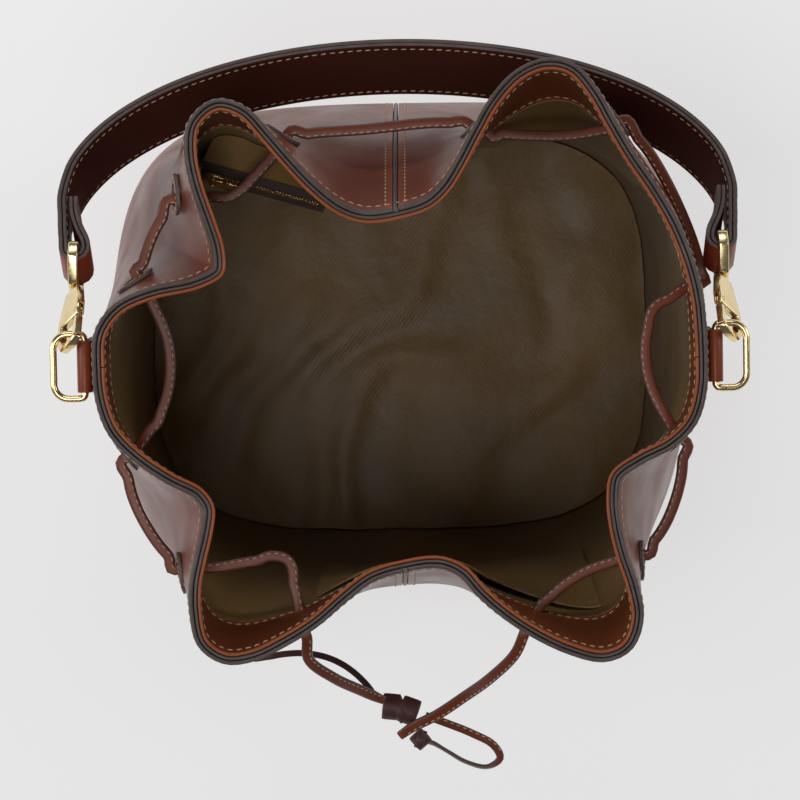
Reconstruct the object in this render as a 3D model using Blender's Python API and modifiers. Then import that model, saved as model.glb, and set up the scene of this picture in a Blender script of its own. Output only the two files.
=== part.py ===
"""Leather bucket bag with a threaded drawcord, side rings and a clip-on top handle.

Frame: origin at the middle of the flat bottom, +X to the bag's right, +Y to its back, +Z up.
Sizes are in metres. MM turns a size written in millimetres into metres.
"""

import math

import bmesh
import bpy
import numpy as np
from mathutils import Matrix, Vector

MM = 0.001
GAP = 0.3 * MM                      # air left between pieces that touch

# ---- bag body: sizes of the lining's outer face, which every wall layer is set off from
BAG_HEIGHT = 290 * MM
BELLY_HEIGHT = 80 * MM
BASE_HALF = (130 * MM, 105 * MM)
BELLY_HALF = (134 * MM, 112 * MM)
OUTLINE_POWER = 3.6                 # 2 is an ellipse, more is squarer
MOUTH_BEND = 2.0                    # how late the wall leaves the belly for the pleated mouth
STRAP_HOLLOW = 12 * MM              # how far the hanging handle presses the back pleats in
HOLLOW_ROWS = (0.1, 0.95)           # shares of the height over which it fades out
HOLLOW_PLACES = (70 * MM, 100 * MM)     # rim's distance to the back where it starts and is full
COLUMNS_PER_QUARTER = 20
BEND_WEIGHT = 14 * MM               # rim length that counts as much as one radian of bend
BELLY_ROWS = (0.0, 0.45, 1.0)       # shares of the height from the bottom to the belly
MOUTH_ROWS = (0.2, 0.4, 0.58, 0.7, 0.7857, 0.905, 1.0)  # shares from the belly to the rim

# ---- wall layers, as distances outside the body size above
FACING = (-0.8 * MM, 0.8 * MM)
STIFFENER = (1.1 * MM, 2.5 * MM)
OUTER = (2.8 * MM, 4.8 * MM)
LINING = (-0.8 * MM, 0.0)
POCKET_THICKNESS = 0.9 * MM
POCKET_BAG = (0.4 * MM, 1.6 * MM)
SEAM_WIDTH = 2.6 * MM               # room between the two outer halves for the welt
WELT_WIDTH = 2.0 * MM
WELT = (3.0 * MM, 5.6 * MM)
FACING_ROW = 0.7857                 # share of the height where the facing starts
STIFFENER_ROW = 0.905

BASE_LEATHER = 2.2 * MM
BASE_BOARD = 1.8 * MM
FLOOR_CLOTH = 0.8 * MM

# ---- mouth of the bag, seen from above, counter-clockwise from the front seam, millimetres
FRONT_TO_RIGHT = [
    (0, -88), (16, -86.5), (27, -91), (36, -101), (46, -110), (59, -119), (74, -126.5),
    (88, -130), (97, -126), (101, -115), (99, -102), (94.5, -88), (91.5, -75), (90.5, -62),
    (92.5, -51), (104, -42.5), (117, -36), (126, -27), (130, -14)]
RIGHT_TO_BACK = [
    (130.5, 0), (130, 14), (129, 25), (125.5, 40), (119, 57), (110, 73), (100, 88), (91.5, 103),
    (85, 115), (76, 125.5), (66, 127.5), (55, 123), (45, 112.5), (37, 99), (30, 86), (23, 75),
    (14.5, 67.5)]
BACK_TO_LEFT = [
    (0, 63), (-14, 61.5), (-26, 65.5), (-38, 75), (-49, 87), (-59, 99), (-68, 109), (-78, 112),
    (-86.5, 105), (-88, 94), (-86, 81), (-81, 65), (-77, 51), (-77.5, 40), (-88, 34),
    (-108, 30), (-122, 24), (-129.5, 14)]
LEFT_TO_FRONT = [
    (-130.5, 0), (-129.5, -14), (-125, -27), (-115, -38), (-101, -48), (-88.5, -55),
    (-83.5, -63), (-84.5, -74), (-87.5, -86), (-90, -98), (-90, -111), (-87.5, -122),
    (-79, -128), (-68, -127), (-55, -121), (-41, -112.5), (-28, -101.5), (-15.5, -92.5)]

# ---- drawcord and the slots it runs through, seen from above, millimetres
CORD_RADIUS = 2.2 * MM
CORD_HEIGHT = 251 * MM
SLOTS = [(-46, -122), (-90, -94), (-122, -39), (-112.5, 28), (-92, 75), (-56, 92),
         (35.5, 104), (88, 97), (124, 28), (126, -36), (102, -93.5), (56, -121)]
SLOT_SIZE = (10 * MM, 5.6 * MM)
PATCH_SIZE = (18 * MM, 13 * MM)
PATCH_THICKNESS = 1.4 * MM
INSIDE_RUNS = {
    1: [(-48, -103), (-47.5, -95), (-50.5, -88.5), (-60.5, -86), (-71, -91.5), (-81, -96)],
    3: [(-108, -30), (-103, -10), (-102, 12)],
    5: [(-78, 70), (-66, 76)],
    7: [(48, 98), (62, 100), (76, 96)],
    9: [(112, 22), (109, -5), (114, -24)],
    11: [(88, -93), (77, -99), (67, -108)]}
OUTSIDE_RUNS = {
    2: [(-107, -86), (-116, -77), (-122, -65), (-124.5, -54)],
    4: [(-116, 44), (-108, 62)],
    6: [(-36, 101), (-10, 103), (14, 105)],
    8: [(112, 93, 250), (119, 82, 247), (125.5, 70.5, 243), (130, 59.5, 241), (133, 50, 241.5),
        (136, 43, 242), (138.3, 38, 244.6), (139.1, 33.5, 248)],
    10: [(128, -50), (125.5, -62), (121.5, -75), (114.5, -87)]}

# ---- loose ends of the drawcord, millimetres
TAIL_LEFT = [(-44, -137, 244), (-33, -148, 230), (-20, -157, 213), (-11, -163, 201)]
TAIL_RIGHT = [(50, -136, 246), (39, -149, 232), (27, -160, 216), (14, -170, 206),
              (3, -176, 201.5), (-3, -180.5, 198)]
KNOT_CENTRE = (-3, -168.5, 194)
KNOT_HALF = (9, 7, 6)
LOOP_ROUTE = [(9, -172.5, 191), (20, -177, 189), (31, -182, 187), (41, -188, 185.5),
              (44, -194.5, 184.5), (38, -198.5, 184), (28, -196, 184.5), (19, -190.5, 185.5),
              (12.5, -186.5, 186)]
END_KNOB = (6.5, -184.5, 186)
END_KNOB_HALF = (4.6, 5, 4)
LACE_ROUTE = [(-13.5, -164, 193), (-19, -156, 195), (-27, -148, 199), (-36, -142.5, 203.5),
              (-47, -139.5, 208), (-59, -139.5, 212), (-70, -142, 214)]
LACE_RADIUS = 1.3 * MM

# ---- side tabs and rings
RING_BAR_X = 139.4 * MM
RING_HEIGHT = 280 * MM
RING_HALF_WIDTH = 14.3 * MM         # from the middle to the middle of each arm
RING_DEPTH = 13.8 * MM
RING_RADIUS = 1.6 * MM
RING_CORNERS = (2.5 * MM, 6.5 * MM)     # at the bar and at the front of the ring
TAB_WIDTH = 23 * MM
TAB_LEATHER = 1.4 * MM
TAB_FOLD = 2.65 * MM                # middle of the leather, round the ring's bar
TAB_FOOT = 246 * MM

# ---- handle, in a frame of its own: X across, Y from the swing axis to the grip, Z square to it
HANDLE_AXIS = (0, 12.73 * MM, 281.8 * MM)
HANDLE_DROP = math.radians(35)          # the hanging handle's slope below level
HANDLE_HALF_WIDTHS = (10.2 * MM, 19 * MM)
HANDLE_OFFSET = -0.9 * MM              # of the strap's middle from the axis, along Z
HANDLE_TAPER = (46 * MM, 80 * MM)       # reach where the strap starts and stops widening
HANDLE_OUTER = (0.15 * MM, 2.15 * MM)
HANDLE_LINING = (-1.85 * MM, -0.15 * MM)
STRAP_FOLD = (144.1, 42, 4.9)           # middle and radius of the fold round the strap ring, mm
STRAP_END = [(145.0, 66), (144.6, 59), (142.4, 52), (139.8, 46.5)]
STRAP_RISE = [(149.2, 46.5), (149.6, 52), (149.8, 59), (150, 67)]
ARCH = (150, 84, 62)                    # half width, rise, and reach of its middle, millimetres

# ---- snap hooks, in a frame of their own: X from the gate to the spine, Y towards the strap
HOOK_PLACE = (145.75 * MM, 14.91 * MM, 279.14 * MM)
HOOK_LEAN = math.radians(2.5)
HOOK_TURN = math.radians(57.8)
HOOK_HALF_LENGTH = 6.7                  # middle of the opening to the middle of the metal, mm
HOOK_HALF_WIDTH = 7.55
HOOK_METAL = 1.6                        # half the metal's width, millimetres
HOOK_THICKNESS = 3.6 * MM
HOOK_BEVEL = 0.45 * MM
PLATE_TOP = 21.7                        # millimetres from the hook's middle
GATE_PIN = (-7.0, 8.1)
GATE_PIN_RADIUS = 0.75 * MM
PIN_HOLE_RADIUS = 1.05 * MM
GATE_THICKNESS = 3.2 * MM
TONGUE_THICKNESS = 1.4 * MM
TONGUE_SLOT = 2.0 * MM
POST_RADIUS = 1.0 * MM
POST_HOLE_RADIUS = 1.3 * MM
POST_HOLE_DEPTH = 8 * MM
STRAP_RING_REACH = (24.5, 38.7)         # middles of its narrow end and of its bar, millimetres
STRAP_RING_HALVES = (5.6, 15.2)         # half its outer width there
STRAP_RING_WIRE = 2.4
STRAP_RING_THICKNESS = 4.6 * MM

# ---- pockets on the lining
SLIP_POCKET_X = (-44 * MM, 92 * MM)
SLIP_POCKET_GAPE = 3.0 * MM
ZIP_START = (-89 * MM, 85.5 * MM, 232 * MM)
ZIP_END = (-33 * MM, 69 * MM, 232 * MM)
ZIP_TILT = math.radians(50)             # the tape's slope down into the bag
TAPE_SIZE = (12 * MM, 0.6 * MM)
TEETH_SIZE = (3.0 * MM, 1.2 * MM)
SLIDER_LENGTH = 9 * MM
ZIP_PULL_LENGTH = 15 * MM

BAG = "bucket_bag"


# ------------------------------------------------------------------ materials
MATERIAL_LOOKS = {
    "outer_leather": ((0.23, 0.062, 0.030), 0.38, 0.0),
    "facing_leather": ((0.27, 0.075, 0.026), 0.45, 0.0),
    "edge_paint": ((0.055, 0.038, 0.036), 0.5, 0.0),
    "lining_cloth": ((0.20, 0.145, 0.055), 0.5, 0.0),
    "board": ((0.30, 0.24, 0.16), 0.9, 0.0),
    "brass": ((0.78, 0.62, 0.33), 0.25, 1.0),
    "cord_leather": ((0.21, 0.058, 0.028), 0.42, 0.0),
    "lace_leather": ((0.06, 0.035, 0.03), 0.55, 0.0),
}


def material(slot):
    """The Principled material for one slot, made once."""
    found = bpy.data.materials.get(slot)
    if found:
        return found
    colour, roughness, metallic = MATERIAL_LOOKS[slot]
    made = bpy.data.materials.new(slot)
    made.use_nodes = True
    shader = made.node_tree.nodes["Principled BSDF"]
    shader.inputs["Base Color"].default_value = (*colour, 1)
    shader.inputs["Roughness"].default_value = roughness
    shader.inputs["Metallic"].default_value = metallic
    return made


# ------------------------------------------------------------------ scene helpers
def clear_scene():
    for found in list(bpy.data.objects):
        bpy.data.objects.remove(found, do_unlink=True)


def collection(name):
    found = bpy.data.collections.get(name)
    if not found:
        found = bpy.data.collections.new(name)
        bpy.context.scene.collection.children.link(found)
    return found


def add_object(name, data, slot, smooth=True, group=BAG):
    """Link a piece into the bag's collection with its material."""
    made = bpy.data.objects.new(name, data)
    collection(group).objects.link(made)
    if slot:
        data.materials.append(material(slot))
    if smooth and isinstance(data, bpy.types.Mesh):
        data.shade_smooth()
        data.set_sharp_from_angle(angle=math.radians(35))
    return made


def mesh_from_bmesh(name, shape):
    bmesh.ops.recalc_face_normals(shape, faces=shape.faces)
    made = bpy.data.meshes.new(name)
    shape.to_mesh(made)
    shape.free()
    return made


def add_cutter(name, data, matrix):
    cutter = add_object(name, data, None, smooth=False, group="cutters")
    cutter.matrix_world = matrix
    cutter.hide_render = True
    cutter.display_type = "WIRE"
    return cutter


def cut(piece, cutter):
    tool = piece.modifiers.new("cut_" + cutter.name, "BOOLEAN")
    tool.operation = "DIFFERENCE"
    tool.object = cutter


# ------------------------------------------------------------------ curves
def spline(points, closed=False, steps=12):
    """Centripetal Catmull-Rom curve through the points, as an array of many points."""
    points = [np.array(point, float) for point in points]
    if closed:
        guide = [points[-1]] + points + points[:2]
    else:
        guide = [2 * points[0] - points[1]] + points + [2 * points[-1] - points[-2]]
    curve = []
    for first, start, end, last in zip(guide, guide[1:], guide[2:], guide[3:]):
        t1 = math.sqrt(np.linalg.norm(start - first))
        t2 = t1 + math.sqrt(np.linalg.norm(end - start))
        t3 = t2 + math.sqrt(np.linalg.norm(last - end))
        for step in range(steps):
            t = t1 + (t2 - t1) * step / steps
            a = start + (start - first) * (t - t1) / t1
            b = start + (end - start) * (t - t1) / (t2 - t1)
            c = end + (last - end) * (t - t2) / (t3 - t2)
            ab = a + (b - a) * t / t2
            bc = b + (c - b) * (t - t1) / (t3 - t1)
            curve.append(ab + (bc - ab) * (t - t1) / (t2 - t1))
    if not closed:
        curve.append(points[-1])
    return np.array(curve)


def lengths_along(curve):
    return np.concatenate([[0], np.cumsum(np.linalg.norm(np.diff(curve, axis=0), axis=1))])


def read_at(curve, marks, wanted):
    """Points of the curve where its marks reach the wanted values."""
    return np.column_stack([np.interp(wanted, marks, curve[:, axis]) for axis in range(curve.shape[1])])


def evenly(curve, spacing):
    """The curve again, as points about one spacing apart."""
    marks = lengths_along(curve)
    count = max(2, round(marks[-1] / spacing))
    return read_at(curve, marks, np.linspace(0, marks[-1], count + 1))


# ------------------------------------------------------------------ bag wall
def quarter_curves():
    """The rim's four quarters, each from one seam anchor to the next, in metres."""
    quarters = [FRONT_TO_RIGHT, RIGHT_TO_BACK, BACK_TO_LEFT, LEFT_TO_FRONT]
    points = [point for quarter in quarters for point in quarter]
    steps = 12
    curve = spline(points, closed=True, steps=steps) * MM
    curve = np.vstack([curve, curve[:1]])
    ends = np.cumsum([0] + [len(quarter) for quarter in quarters]) * steps
    return [curve[first:last + 1] for first, last in zip(ends, ends[1:])]


def columns_by_bend(curve):
    """Shares of the curve's length for the wall's columns, closer together where it bends."""
    sides = np.diff(curve, axis=0)
    headings = np.unwrap(np.arctan2(sides[:, 1], sides[:, 0]))
    turns = np.abs(np.diff(headings, prepend=headings[0]))
    weight = np.concatenate([[0], np.cumsum(np.linalg.norm(sides, axis=1) + BEND_WEIGHT * turns)])
    wanted = np.linspace(0, weight[-1], COLUMNS_PER_QUARTER + 1)[:-1]
    lengths = lengths_along(curve)
    return np.interp(wanted, weight, lengths) / lengths[-1]


def superellipse_quarter(half, quarter):
    """One quarter of a body outline, counter-clockwise, starting at the front for quarter 0."""
    angles = math.radians(-90 + 90 * quarter) + np.linspace(0, math.pi / 2, 200)
    cosines, sines = np.cos(angles), np.sin(angles)
    power = 2 / OUTLINE_POWER
    return np.column_stack([half[0] * np.sign(cosines) * np.abs(cosines) ** power,
                            half[1] * np.sign(sines) * np.abs(sines) ** power])


def wall_columns():
    """Base, belly and rim outlines with matching columns."""
    rim, belly, base = [], [], []
    for quarter, curve in enumerate(quarter_curves()):
        shares = columns_by_bend(curve)
        lengths = lengths_along(curve)
        rim.append(read_at(curve, lengths, shares * lengths[-1]))
        for half, outline in ((BELLY_HALF, belly), (BASE_HALF, base)):
            side = superellipse_quarter(half, quarter)
            marks = lengths_along(side)
            outline.append(read_at(side, marks, shares * marks[-1]))
    return np.vstack(base), np.vstack(belly), np.vstack(rim)


BASE_LINE, BELLY_LINE, RIM_LINE = wall_columns()
COLUMNS = len(RIM_LINE)
SLANT = BAG_HEIGHT - BELLY_HEIGHT


def outward(outline):
    """Unit normals of a closed outline that runs counter-clockwise."""
    along = np.roll(outline, -1, axis=0) - np.roll(outline, 1, axis=0)
    along /= np.linalg.norm(along, axis=1)[:, None]
    return np.column_stack([along[:, 1], -along[:, 0]])


def wall_outline(row):
    """Outline and heights of the wall: row -1 is the bottom, 0 the belly and 1 the rim."""
    if row < 0:
        bulge = math.sin((1 + row) * math.pi / 2)
        outline = BASE_LINE + (BELLY_LINE - BASE_LINE) * bulge
        return outline, np.full(COLUMNS, BELLY_HEIGHT * (1 + row))
    outline = BELLY_LINE + (RIM_LINE - BELLY_LINE) * row ** MOUTH_BEND
    low, high = HOLLOW_ROWS
    if low < row < high:
        depth = STRAP_HOLLOW * math.sin(math.pi * (row - low) / (high - low)) ** 2
        outline[:, 1] -= depth * np.interp(RIM_LINE[:, 1], HOLLOW_PLACES, (0, 1))
    lean = np.linalg.norm(RIM_LINE - BELLY_LINE, axis=1)
    top = BELLY_HEIGHT + np.sqrt(SLANT ** 2 - lean ** 2)
    return outline, BELLY_HEIGHT + (top - BELLY_HEIGHT) * row


def wall_ring(row, offset):
    """One ring of wall points, set off outwards from the body."""
    outline, heights = wall_outline(row)
    return np.column_stack([outline + outward(outline) * offset, heights])


def wall_point(place, height, offset=0.0):
    """The wall's point nearest to a place seen from above, at a height, and its outward normal."""
    row = (height - BELLY_HEIGHT) / SLANT
    outline, _ = wall_outline(row)
    ends = np.roll(outline, -1, axis=0)
    sides = ends - outline
    shares = np.clip(((place - outline) * sides).sum(1) / (sides * sides).sum(1), 0, 1)
    feet = outline + sides * shares[:, None]
    nearest = np.argmin(np.linalg.norm(feet - place, axis=1))
    normals = outward(outline)
    normal = normals[nearest] * (1 - shares[nearest]) + np.roll(normals, -1, axis=0)[nearest] * shares[nearest]
    normal /= np.linalg.norm(normal)
    return np.append(feet[nearest] + normal * offset, height), np.append(normal, 0.0)


def slab(name, outside, inside, slot, wrap=False):
    """A closed layer between two matching grids of points, rows by columns."""
    shape = bmesh.new()
    rows, columns = outside.shape[:2]
    grids = [[[shape.verts.new(point) for point in row] for row in grid] for grid in (outside, inside)]
    steps = range(columns if wrap else columns - 1)
    for grid in grids:
        for row in range(rows - 1):
            for column in steps:
                after = (column + 1) % columns
                shape.faces.new((grid[row][column], grid[row][after],
                                 grid[row + 1][after], grid[row + 1][column]))
    for row in (0, rows - 1):
        for column in steps:
            after = (column + 1) % columns
            shape.faces.new((grids[0][row][column], grids[0][row][after],
                             grids[1][row][after], grids[1][row][column]))
    if not wrap:
        for column in (0, columns - 1):
            for row in range(rows - 1):
                shape.faces.new((grids[0][row][column], grids[0][row + 1][column],
                                 grids[1][row + 1][column], grids[1][row][column]))
    return add_object(name, mesh_from_bmesh(name, shape), slot)


def wall_grids(rows, layer, columns):
    """Outside and inside grids of a wall layer over the given rows and columns."""
    grids = []
    for offset in (layer[1], layer[0]):
        grids.append(np.array([wall_ring(row, offset)[columns] for row in rows]))
    return grids


def wall_rows(first, last):
    rows = [row - 1 for row in BELLY_ROWS] + list(MOUTH_ROWS)
    return [row for row in rows if first - 1e-6 <= row <= last + 1e-6]


def trim_ends(grids, room):
    """Pull both end columns of a layer back along the wall, leaving room at each end."""
    for grid in grids:
        for end, beside in ((0, 1), (-1, -2)):
            step = grid[:, beside] - grid[:, end]
            grid[:, end] += step / np.linalg.norm(step, axis=1)[:, None] * room


def half_columns(first, last):
    return [column % COLUMNS for column in range(first, last + 1)]


def lift_bottom(grids, height):
    for grid in grids:
        grid[0, :, 2] = height


def make_outer_halves():
    """Left and right halves of the outer leather, sewn at the front and back."""
    half = COLUMNS // 2
    halves = {"outer_right": half_columns(0, half), "outer_left": half_columns(half, COLUMNS)}
    made = []
    for name, columns in halves.items():
        grids = wall_grids(wall_rows(-1, 1), OUTER, columns)
        trim_ends(grids, SEAM_WIDTH / 2)
        lift_bottom(grids, BASE_LEATHER + GAP)
        made.append(slab(name, *grids, "outer_leather"))
    return made


def make_welts():
    """Narrow leather strips sewn into the front and back seams."""
    for name, column in (("front_welt", 0), ("back_welt", COLUMNS // 2)):
        rows = wall_rows(-1, 1)
        grids = []
        for offset in (WELT[1], WELT[0]):
            line = np.array([wall_ring(row, offset)[column] for row in rows])
            line[0, 2] = BASE_LEATHER + GAP
            side = np.array([WELT_WIDTH / 2, 0, 0])
            grids.append(np.stack([line - side, line + side], axis=1))
        slab(name, *grids, "edge_paint")


def make_rim_stiffener():
    grids = wall_grids(wall_rows(STIFFENER_ROW, 1), STIFFENER, range(COLUMNS))
    return slab("rim_stiffener", *grids, "edge_paint", wrap=True)


def make_facings():
    """The leather band inside the mouth, in a front and a back length joined at the sides."""
    quarter = COLUMNS // 4
    lengths = {"facing_front": half_columns(-quarter, quarter),
               "facing_back": half_columns(quarter, 3 * quarter)}
    made = []
    for name, columns in lengths.items():
        grids = wall_grids(wall_rows(FACING_ROW, 1), FACING, columns)
        trim_ends(grids, GAP / 2)
        made.append(slab(name, *grids, "facing_leather"))
    return made


def make_lining():
    """Cloth tube that hangs from the facing's lower edge, and its floor."""
    grids = wall_grids(lining_rows(), LINING, range(0, COLUMNS, 2))
    lift_bottom(grids, BASE_LEATHER + BASE_BOARD + FLOOR_CLOTH + 3 * GAP)
    for grid in grids:
        grid[-1, :, 2] -= 1 * MM
    return slab("lining_wall", *grids, "lining_cloth", wrap=True)


def flat_layer(name, offset, bottom, thickness, slot):
    """A flat piece in the shape of the bottom, cut to an offset of its outline."""
    outline = BASE_LINE + outward(BASE_LINE) * offset
    shape = bmesh.new()
    shape.faces.new([shape.verts.new((x, y, bottom)) for x, y in outline[::2]])
    risen = bmesh.ops.extrude_face_region(shape, geom=shape.faces[:])
    raised = [item for item in risen["geom"] if isinstance(item, bmesh.types.BMVert)]
    bmesh.ops.translate(shape, verts=raised, vec=(0, 0, thickness))
    return add_object(name, mesh_from_bmesh(name, shape), slot)


def make_bottom():
    flat_layer("base_panel", OUTER[1] - GAP, 0, BASE_LEATHER, "outer_leather")
    flat_layer("base_board", OUTER[0] - 2 * GAP, BASE_LEATHER + GAP, BASE_BOARD, "board")
    cloth_bottom = BASE_LEATHER + BASE_BOARD + 2 * GAP
    flat_layer("lining_floor", LINING[1], cloth_bottom, FLOOR_CLOTH, "lining_cloth")


# ------------------------------------------------------------------ slots and patches
def wall_frame(place, height, offset):
    """A matrix on the wall: X along the wall, Y up, Z outwards."""
    point, normal = wall_point(np.array(place) * MM, height, offset)
    out, up = Vector(normal), Vector((0, 0, 1))
    turn = Matrix((up.cross(out), up, out)).transposed().to_4x4()
    return Matrix.Translation(Vector(point)) @ turn


def oval_points(size, count=12):
    """Corners of a rounded slot outline, wider than it is high."""
    half, radius = size[0] / 2 - size[1] / 2, size[1] / 2
    points = []
    for step in range(count):
        angle = 2 * math.pi * (step + 0.5) / count
        side = math.copysign(half, math.cos(angle))
        points.append((side + radius * math.cos(angle), radius * math.sin(angle)))
    return points


def oval_mesh(name, size, thickness):
    shape = bmesh.new()
    shape.faces.new([shape.verts.new((x, y, -thickness / 2)) for x, y in oval_points(size)])
    risen = bmesh.ops.extrude_face_region(shape, geom=shape.faces[:])
    raised = [item for item in risen["geom"] if isinstance(item, bmesh.types.BMVert)]
    bmesh.ops.translate(shape, verts=raised, vec=(0, 0, thickness))
    return mesh_from_bmesh(name, shape)


def ring_mesh(name, outer, inner, low, high):
    """A flat ring between two outlines with the same number of corners."""
    shape = bmesh.new()
    levels = []
    for height in (low, high):
        for outline in (outer, inner):
            levels.append([shape.verts.new((x, y, height)) for x, y in outline])
    for one, other in ((0, 1), (1, 3), (3, 2), (2, 0)):
        bridge = zip(levels[one], levels[one][1:] + levels[one][:1],
                     levels[other][1:] + levels[other][:1], levels[other])
        for corners in bridge:
            shape.faces.new(corners)
    return mesh_from_bmesh(name, shape)


def bend_to_wall(piece, place, height, base_offset):
    """Bend a flat piece, lying on a wall matrix, so that its back follows the wall."""
    matrix = wall_frame(place, height, 0)
    for vertex in piece.data.vertices:
        flat = matrix @ vertex.co
        depth = vertex.co.z
        flat_on_wall = matrix @ Vector((vertex.co.x, vertex.co.y, 0))
        spot, normal = wall_point(np.array(flat_on_wall[:2]), flat.z, 0)
        vertex.co = Vector(spot) + Vector(normal) * (base_offset + depth)


def make_slots(outer, facings):
    """Cut the drawcord's slots through the leather, and set a patch round each outside."""
    for number, place in enumerate(SLOTS, start=1):
        data = oval_mesh("slot", SLOT_SIZE, 16 * MM)
        cutter = add_cutter(f"slot_{number:02d}", data, wall_frame(place, CORD_HEIGHT, 1 * MM))
        side = outer[0] if place[0] > 0 else outer[1]
        band = facings[0] if place[1] < 0 else facings[1]
        cut(side, cutter)
        cut(band, cutter)
        name = f"slot_patch_{number:02d}"
        ring = ring_mesh(name, oval_points(PATCH_SIZE), oval_points(SLOT_SIZE), 0, PATCH_THICKNESS)
        patch = add_object(name, ring, "outer_leather")
        bend_to_wall(patch, place, CORD_HEIGHT, OUTER[1] + 0.65 * MM)


# ------------------------------------------------------------------ drawcord
def rod(name, route, radius, slot, spacing=None, closed=False, resolution=2):
    """A round tube along a route in metres, with its points about one spacing apart."""
    data = bpy.data.curves.new(name, "CURVE")
    data.dimensions = "3D"
    data.bevel_depth = radius
    data.bevel_resolution = resolution
    data.use_fill_caps = not closed
    points = evenly(np.array(route), spacing) if spacing else np.array(route)
    line = data.splines.new("POLY")
    line.points.add(len(points) - 1)
    for spot, point in zip(line.points, points):
        spot.co = (*point, 1)
    line.use_cyclic_u = closed
    return add_object(name, data, slot)


def drawcord_route():
    """Guide points of the drawcord from its first slot to its last."""
    route = []
    for number, place in enumerate(SLOTS, start=1):
        spot, normal = wall_point(np.array(place) * MM, CORD_HEIGHT, 2 * MM)
        inner, outer = spot - normal * 8 * MM, spot + normal * 9.2 * MM
        if number == 1:
            outer = spot + normal * 5 * MM
        if number == len(SLOTS):
            outer = spot + normal * 5 * MM
        route += [outer, spot, inner] if number % 2 else [inner, spot, outer]
        runs = INSIDE_RUNS if number % 2 else OUTSIDE_RUNS
        for x, y, *height in runs.get(number, []):
            route.append(np.array((x * MM, y * MM, height[0] * MM if height else CORD_HEIGHT)))
    return route


def tail_route(slot_number, points):
    spot, normal = wall_point(np.array(SLOTS[slot_number - 1]) * MM, CORD_HEIGHT, 2 * MM)
    start = spot + normal * (5 * MM + 3 * GAP)
    return [start, start + normal * 4 * MM] + [np.array(point) * MM for point in points]


def make_ellipsoid(name, centre, half, slot):
    shape = bmesh.new()
    bmesh.ops.create_icosphere(shape, subdivisions=2, radius=1)
    bmesh.ops.scale(shape, verts=shape.verts, vec=Vector(half) * MM)
    bmesh.ops.translate(shape, verts=shape.verts, vec=Vector(centre) * MM)
    return add_object(name, mesh_from_bmesh(name, shape), slot)


def make_drawcord():
    rod("drawcord", spline(drawcord_route()), CORD_RADIUS, "cord_leather", 9 * MM)
    left = spline(tail_route(1, TAIL_LEFT))
    right = spline(tail_route(len(SLOTS), TAIL_RIGHT))
    rod("cord_tail_left", left, CORD_RADIUS, "cord_leather", 10 * MM)
    rod("cord_tail_right", right, CORD_RADIUS, "cord_leather", 10 * MM)
    make_ellipsoid("cord_knot", KNOT_CENTRE, KNOT_HALF, "lace_leather")
    rod("cord_loop", spline(np.array(LOOP_ROUTE) * MM), 1.9 * MM, "cord_leather", 6 * MM)
    make_ellipsoid("cord_end_knob", END_KNOB, END_KNOB_HALF, "lace_leather")
    rod("lace_end", spline(np.array(LACE_ROUTE) * MM), LACE_RADIUS, "lace_leather", 7 * MM)


# ------------------------------------------------------------------ frames and flat pieces
def frame_matrix(across, along, place):
    """A frame with X across and Y along; Z is square to both."""
    across, along = Vector(across).normalized(), Vector(along).normalized()
    turn = Matrix((across, along, across.cross(along))).transposed().to_4x4()
    return Matrix.Translation(Vector(place)) @ turn


def mirrored(values, side):
    """A place or direction for one side of the bag: 1 is right, -1 its mirror image."""
    return Vector((values[0] * side, values[1], values[2]))


def add_pivot(name, matrix):
    """An empty on a joint's axis that carries the pieces of one moving body."""
    empty = bpy.data.objects.new(name, None)
    collection(BAG).objects.link(empty)
    empty.empty_display_size = 10 * MM
    empty.matrix_world = matrix
    return empty


def carry(pivot, *pieces):
    for piece in pieces:
        piece.parent = pivot
    return pieces[0]


def prism(name, outline, thickness, slot):
    """A flat piece of even thickness, centred on its frame's XY plane; outline in millimetres."""
    shape = bmesh.new()
    shape.faces.new([shape.verts.new((x * MM, y * MM, -thickness / 2)) for x, y in outline])
    risen = bmesh.ops.extrude_face_region(shape, geom=shape.faces[:])
    raised = [item for item in risen["geom"] if isinstance(item, bmesh.types.BMVert)]
    bmesh.ops.translate(shape, verts=raised, vec=(0, 0, thickness))
    return add_object(name, mesh_from_bmesh(name, shape), slot)


def soften(piece, width):
    bevel = piece.modifiers.new("soft_edges", "BEVEL")
    bevel.width = width
    bevel.segments = 1
    bevel.limit_method = "ANGLE"
    bevel.angle_limit = math.radians(30)


def cylinder_mesh(name, radius, depth, segments=16):
    shape = bmesh.new()
    bmesh.ops.create_cone(shape, cap_ends=True, segments=segments, radius1=radius,
                          radius2=radius, depth=depth)
    return mesh_from_bmesh(name, shape)


def box_mesh(name, size):
    shape = bmesh.new()
    bmesh.ops.create_cube(shape, size=1)
    bmesh.ops.scale(shape, verts=shape.verts, vec=size)
    return mesh_from_bmesh(name, shape)


def side_normals(path):
    """Right-hand normals of an open path in a plane."""
    steps = np.diff(path, axis=0)
    steps /= np.linalg.norm(steps, axis=1)[:, None]
    along = np.vstack([steps[:1], steps[:-1] + steps[1:], steps[-1:]])
    along /= np.linalg.norm(along, axis=1)[:, None]
    return np.column_stack([along[:, 1], -along[:, 0]])


def ribbon(name, path, layer, half_widths, slot):
    """A strip along a path in its frame's XY plane, spread to both sides along Z."""
    grids = []
    for offset in (layer[1], layer[0]):
        line = path + side_normals(path) * offset
        edges = [np.column_stack([line, half]) for half in (-half_widths, half_widths)]
        grids.append(np.array(edges))
    return slab(name, *grids, slot)


def arc(centre, radius, start, end, count):
    """Points of an arc, with its angles in degrees."""
    angles = np.radians(np.linspace(start, end, count))
    return [(centre[0] + radius * math.cos(angle), centre[1] + radius * math.sin(angle))
            for angle in angles]


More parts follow.
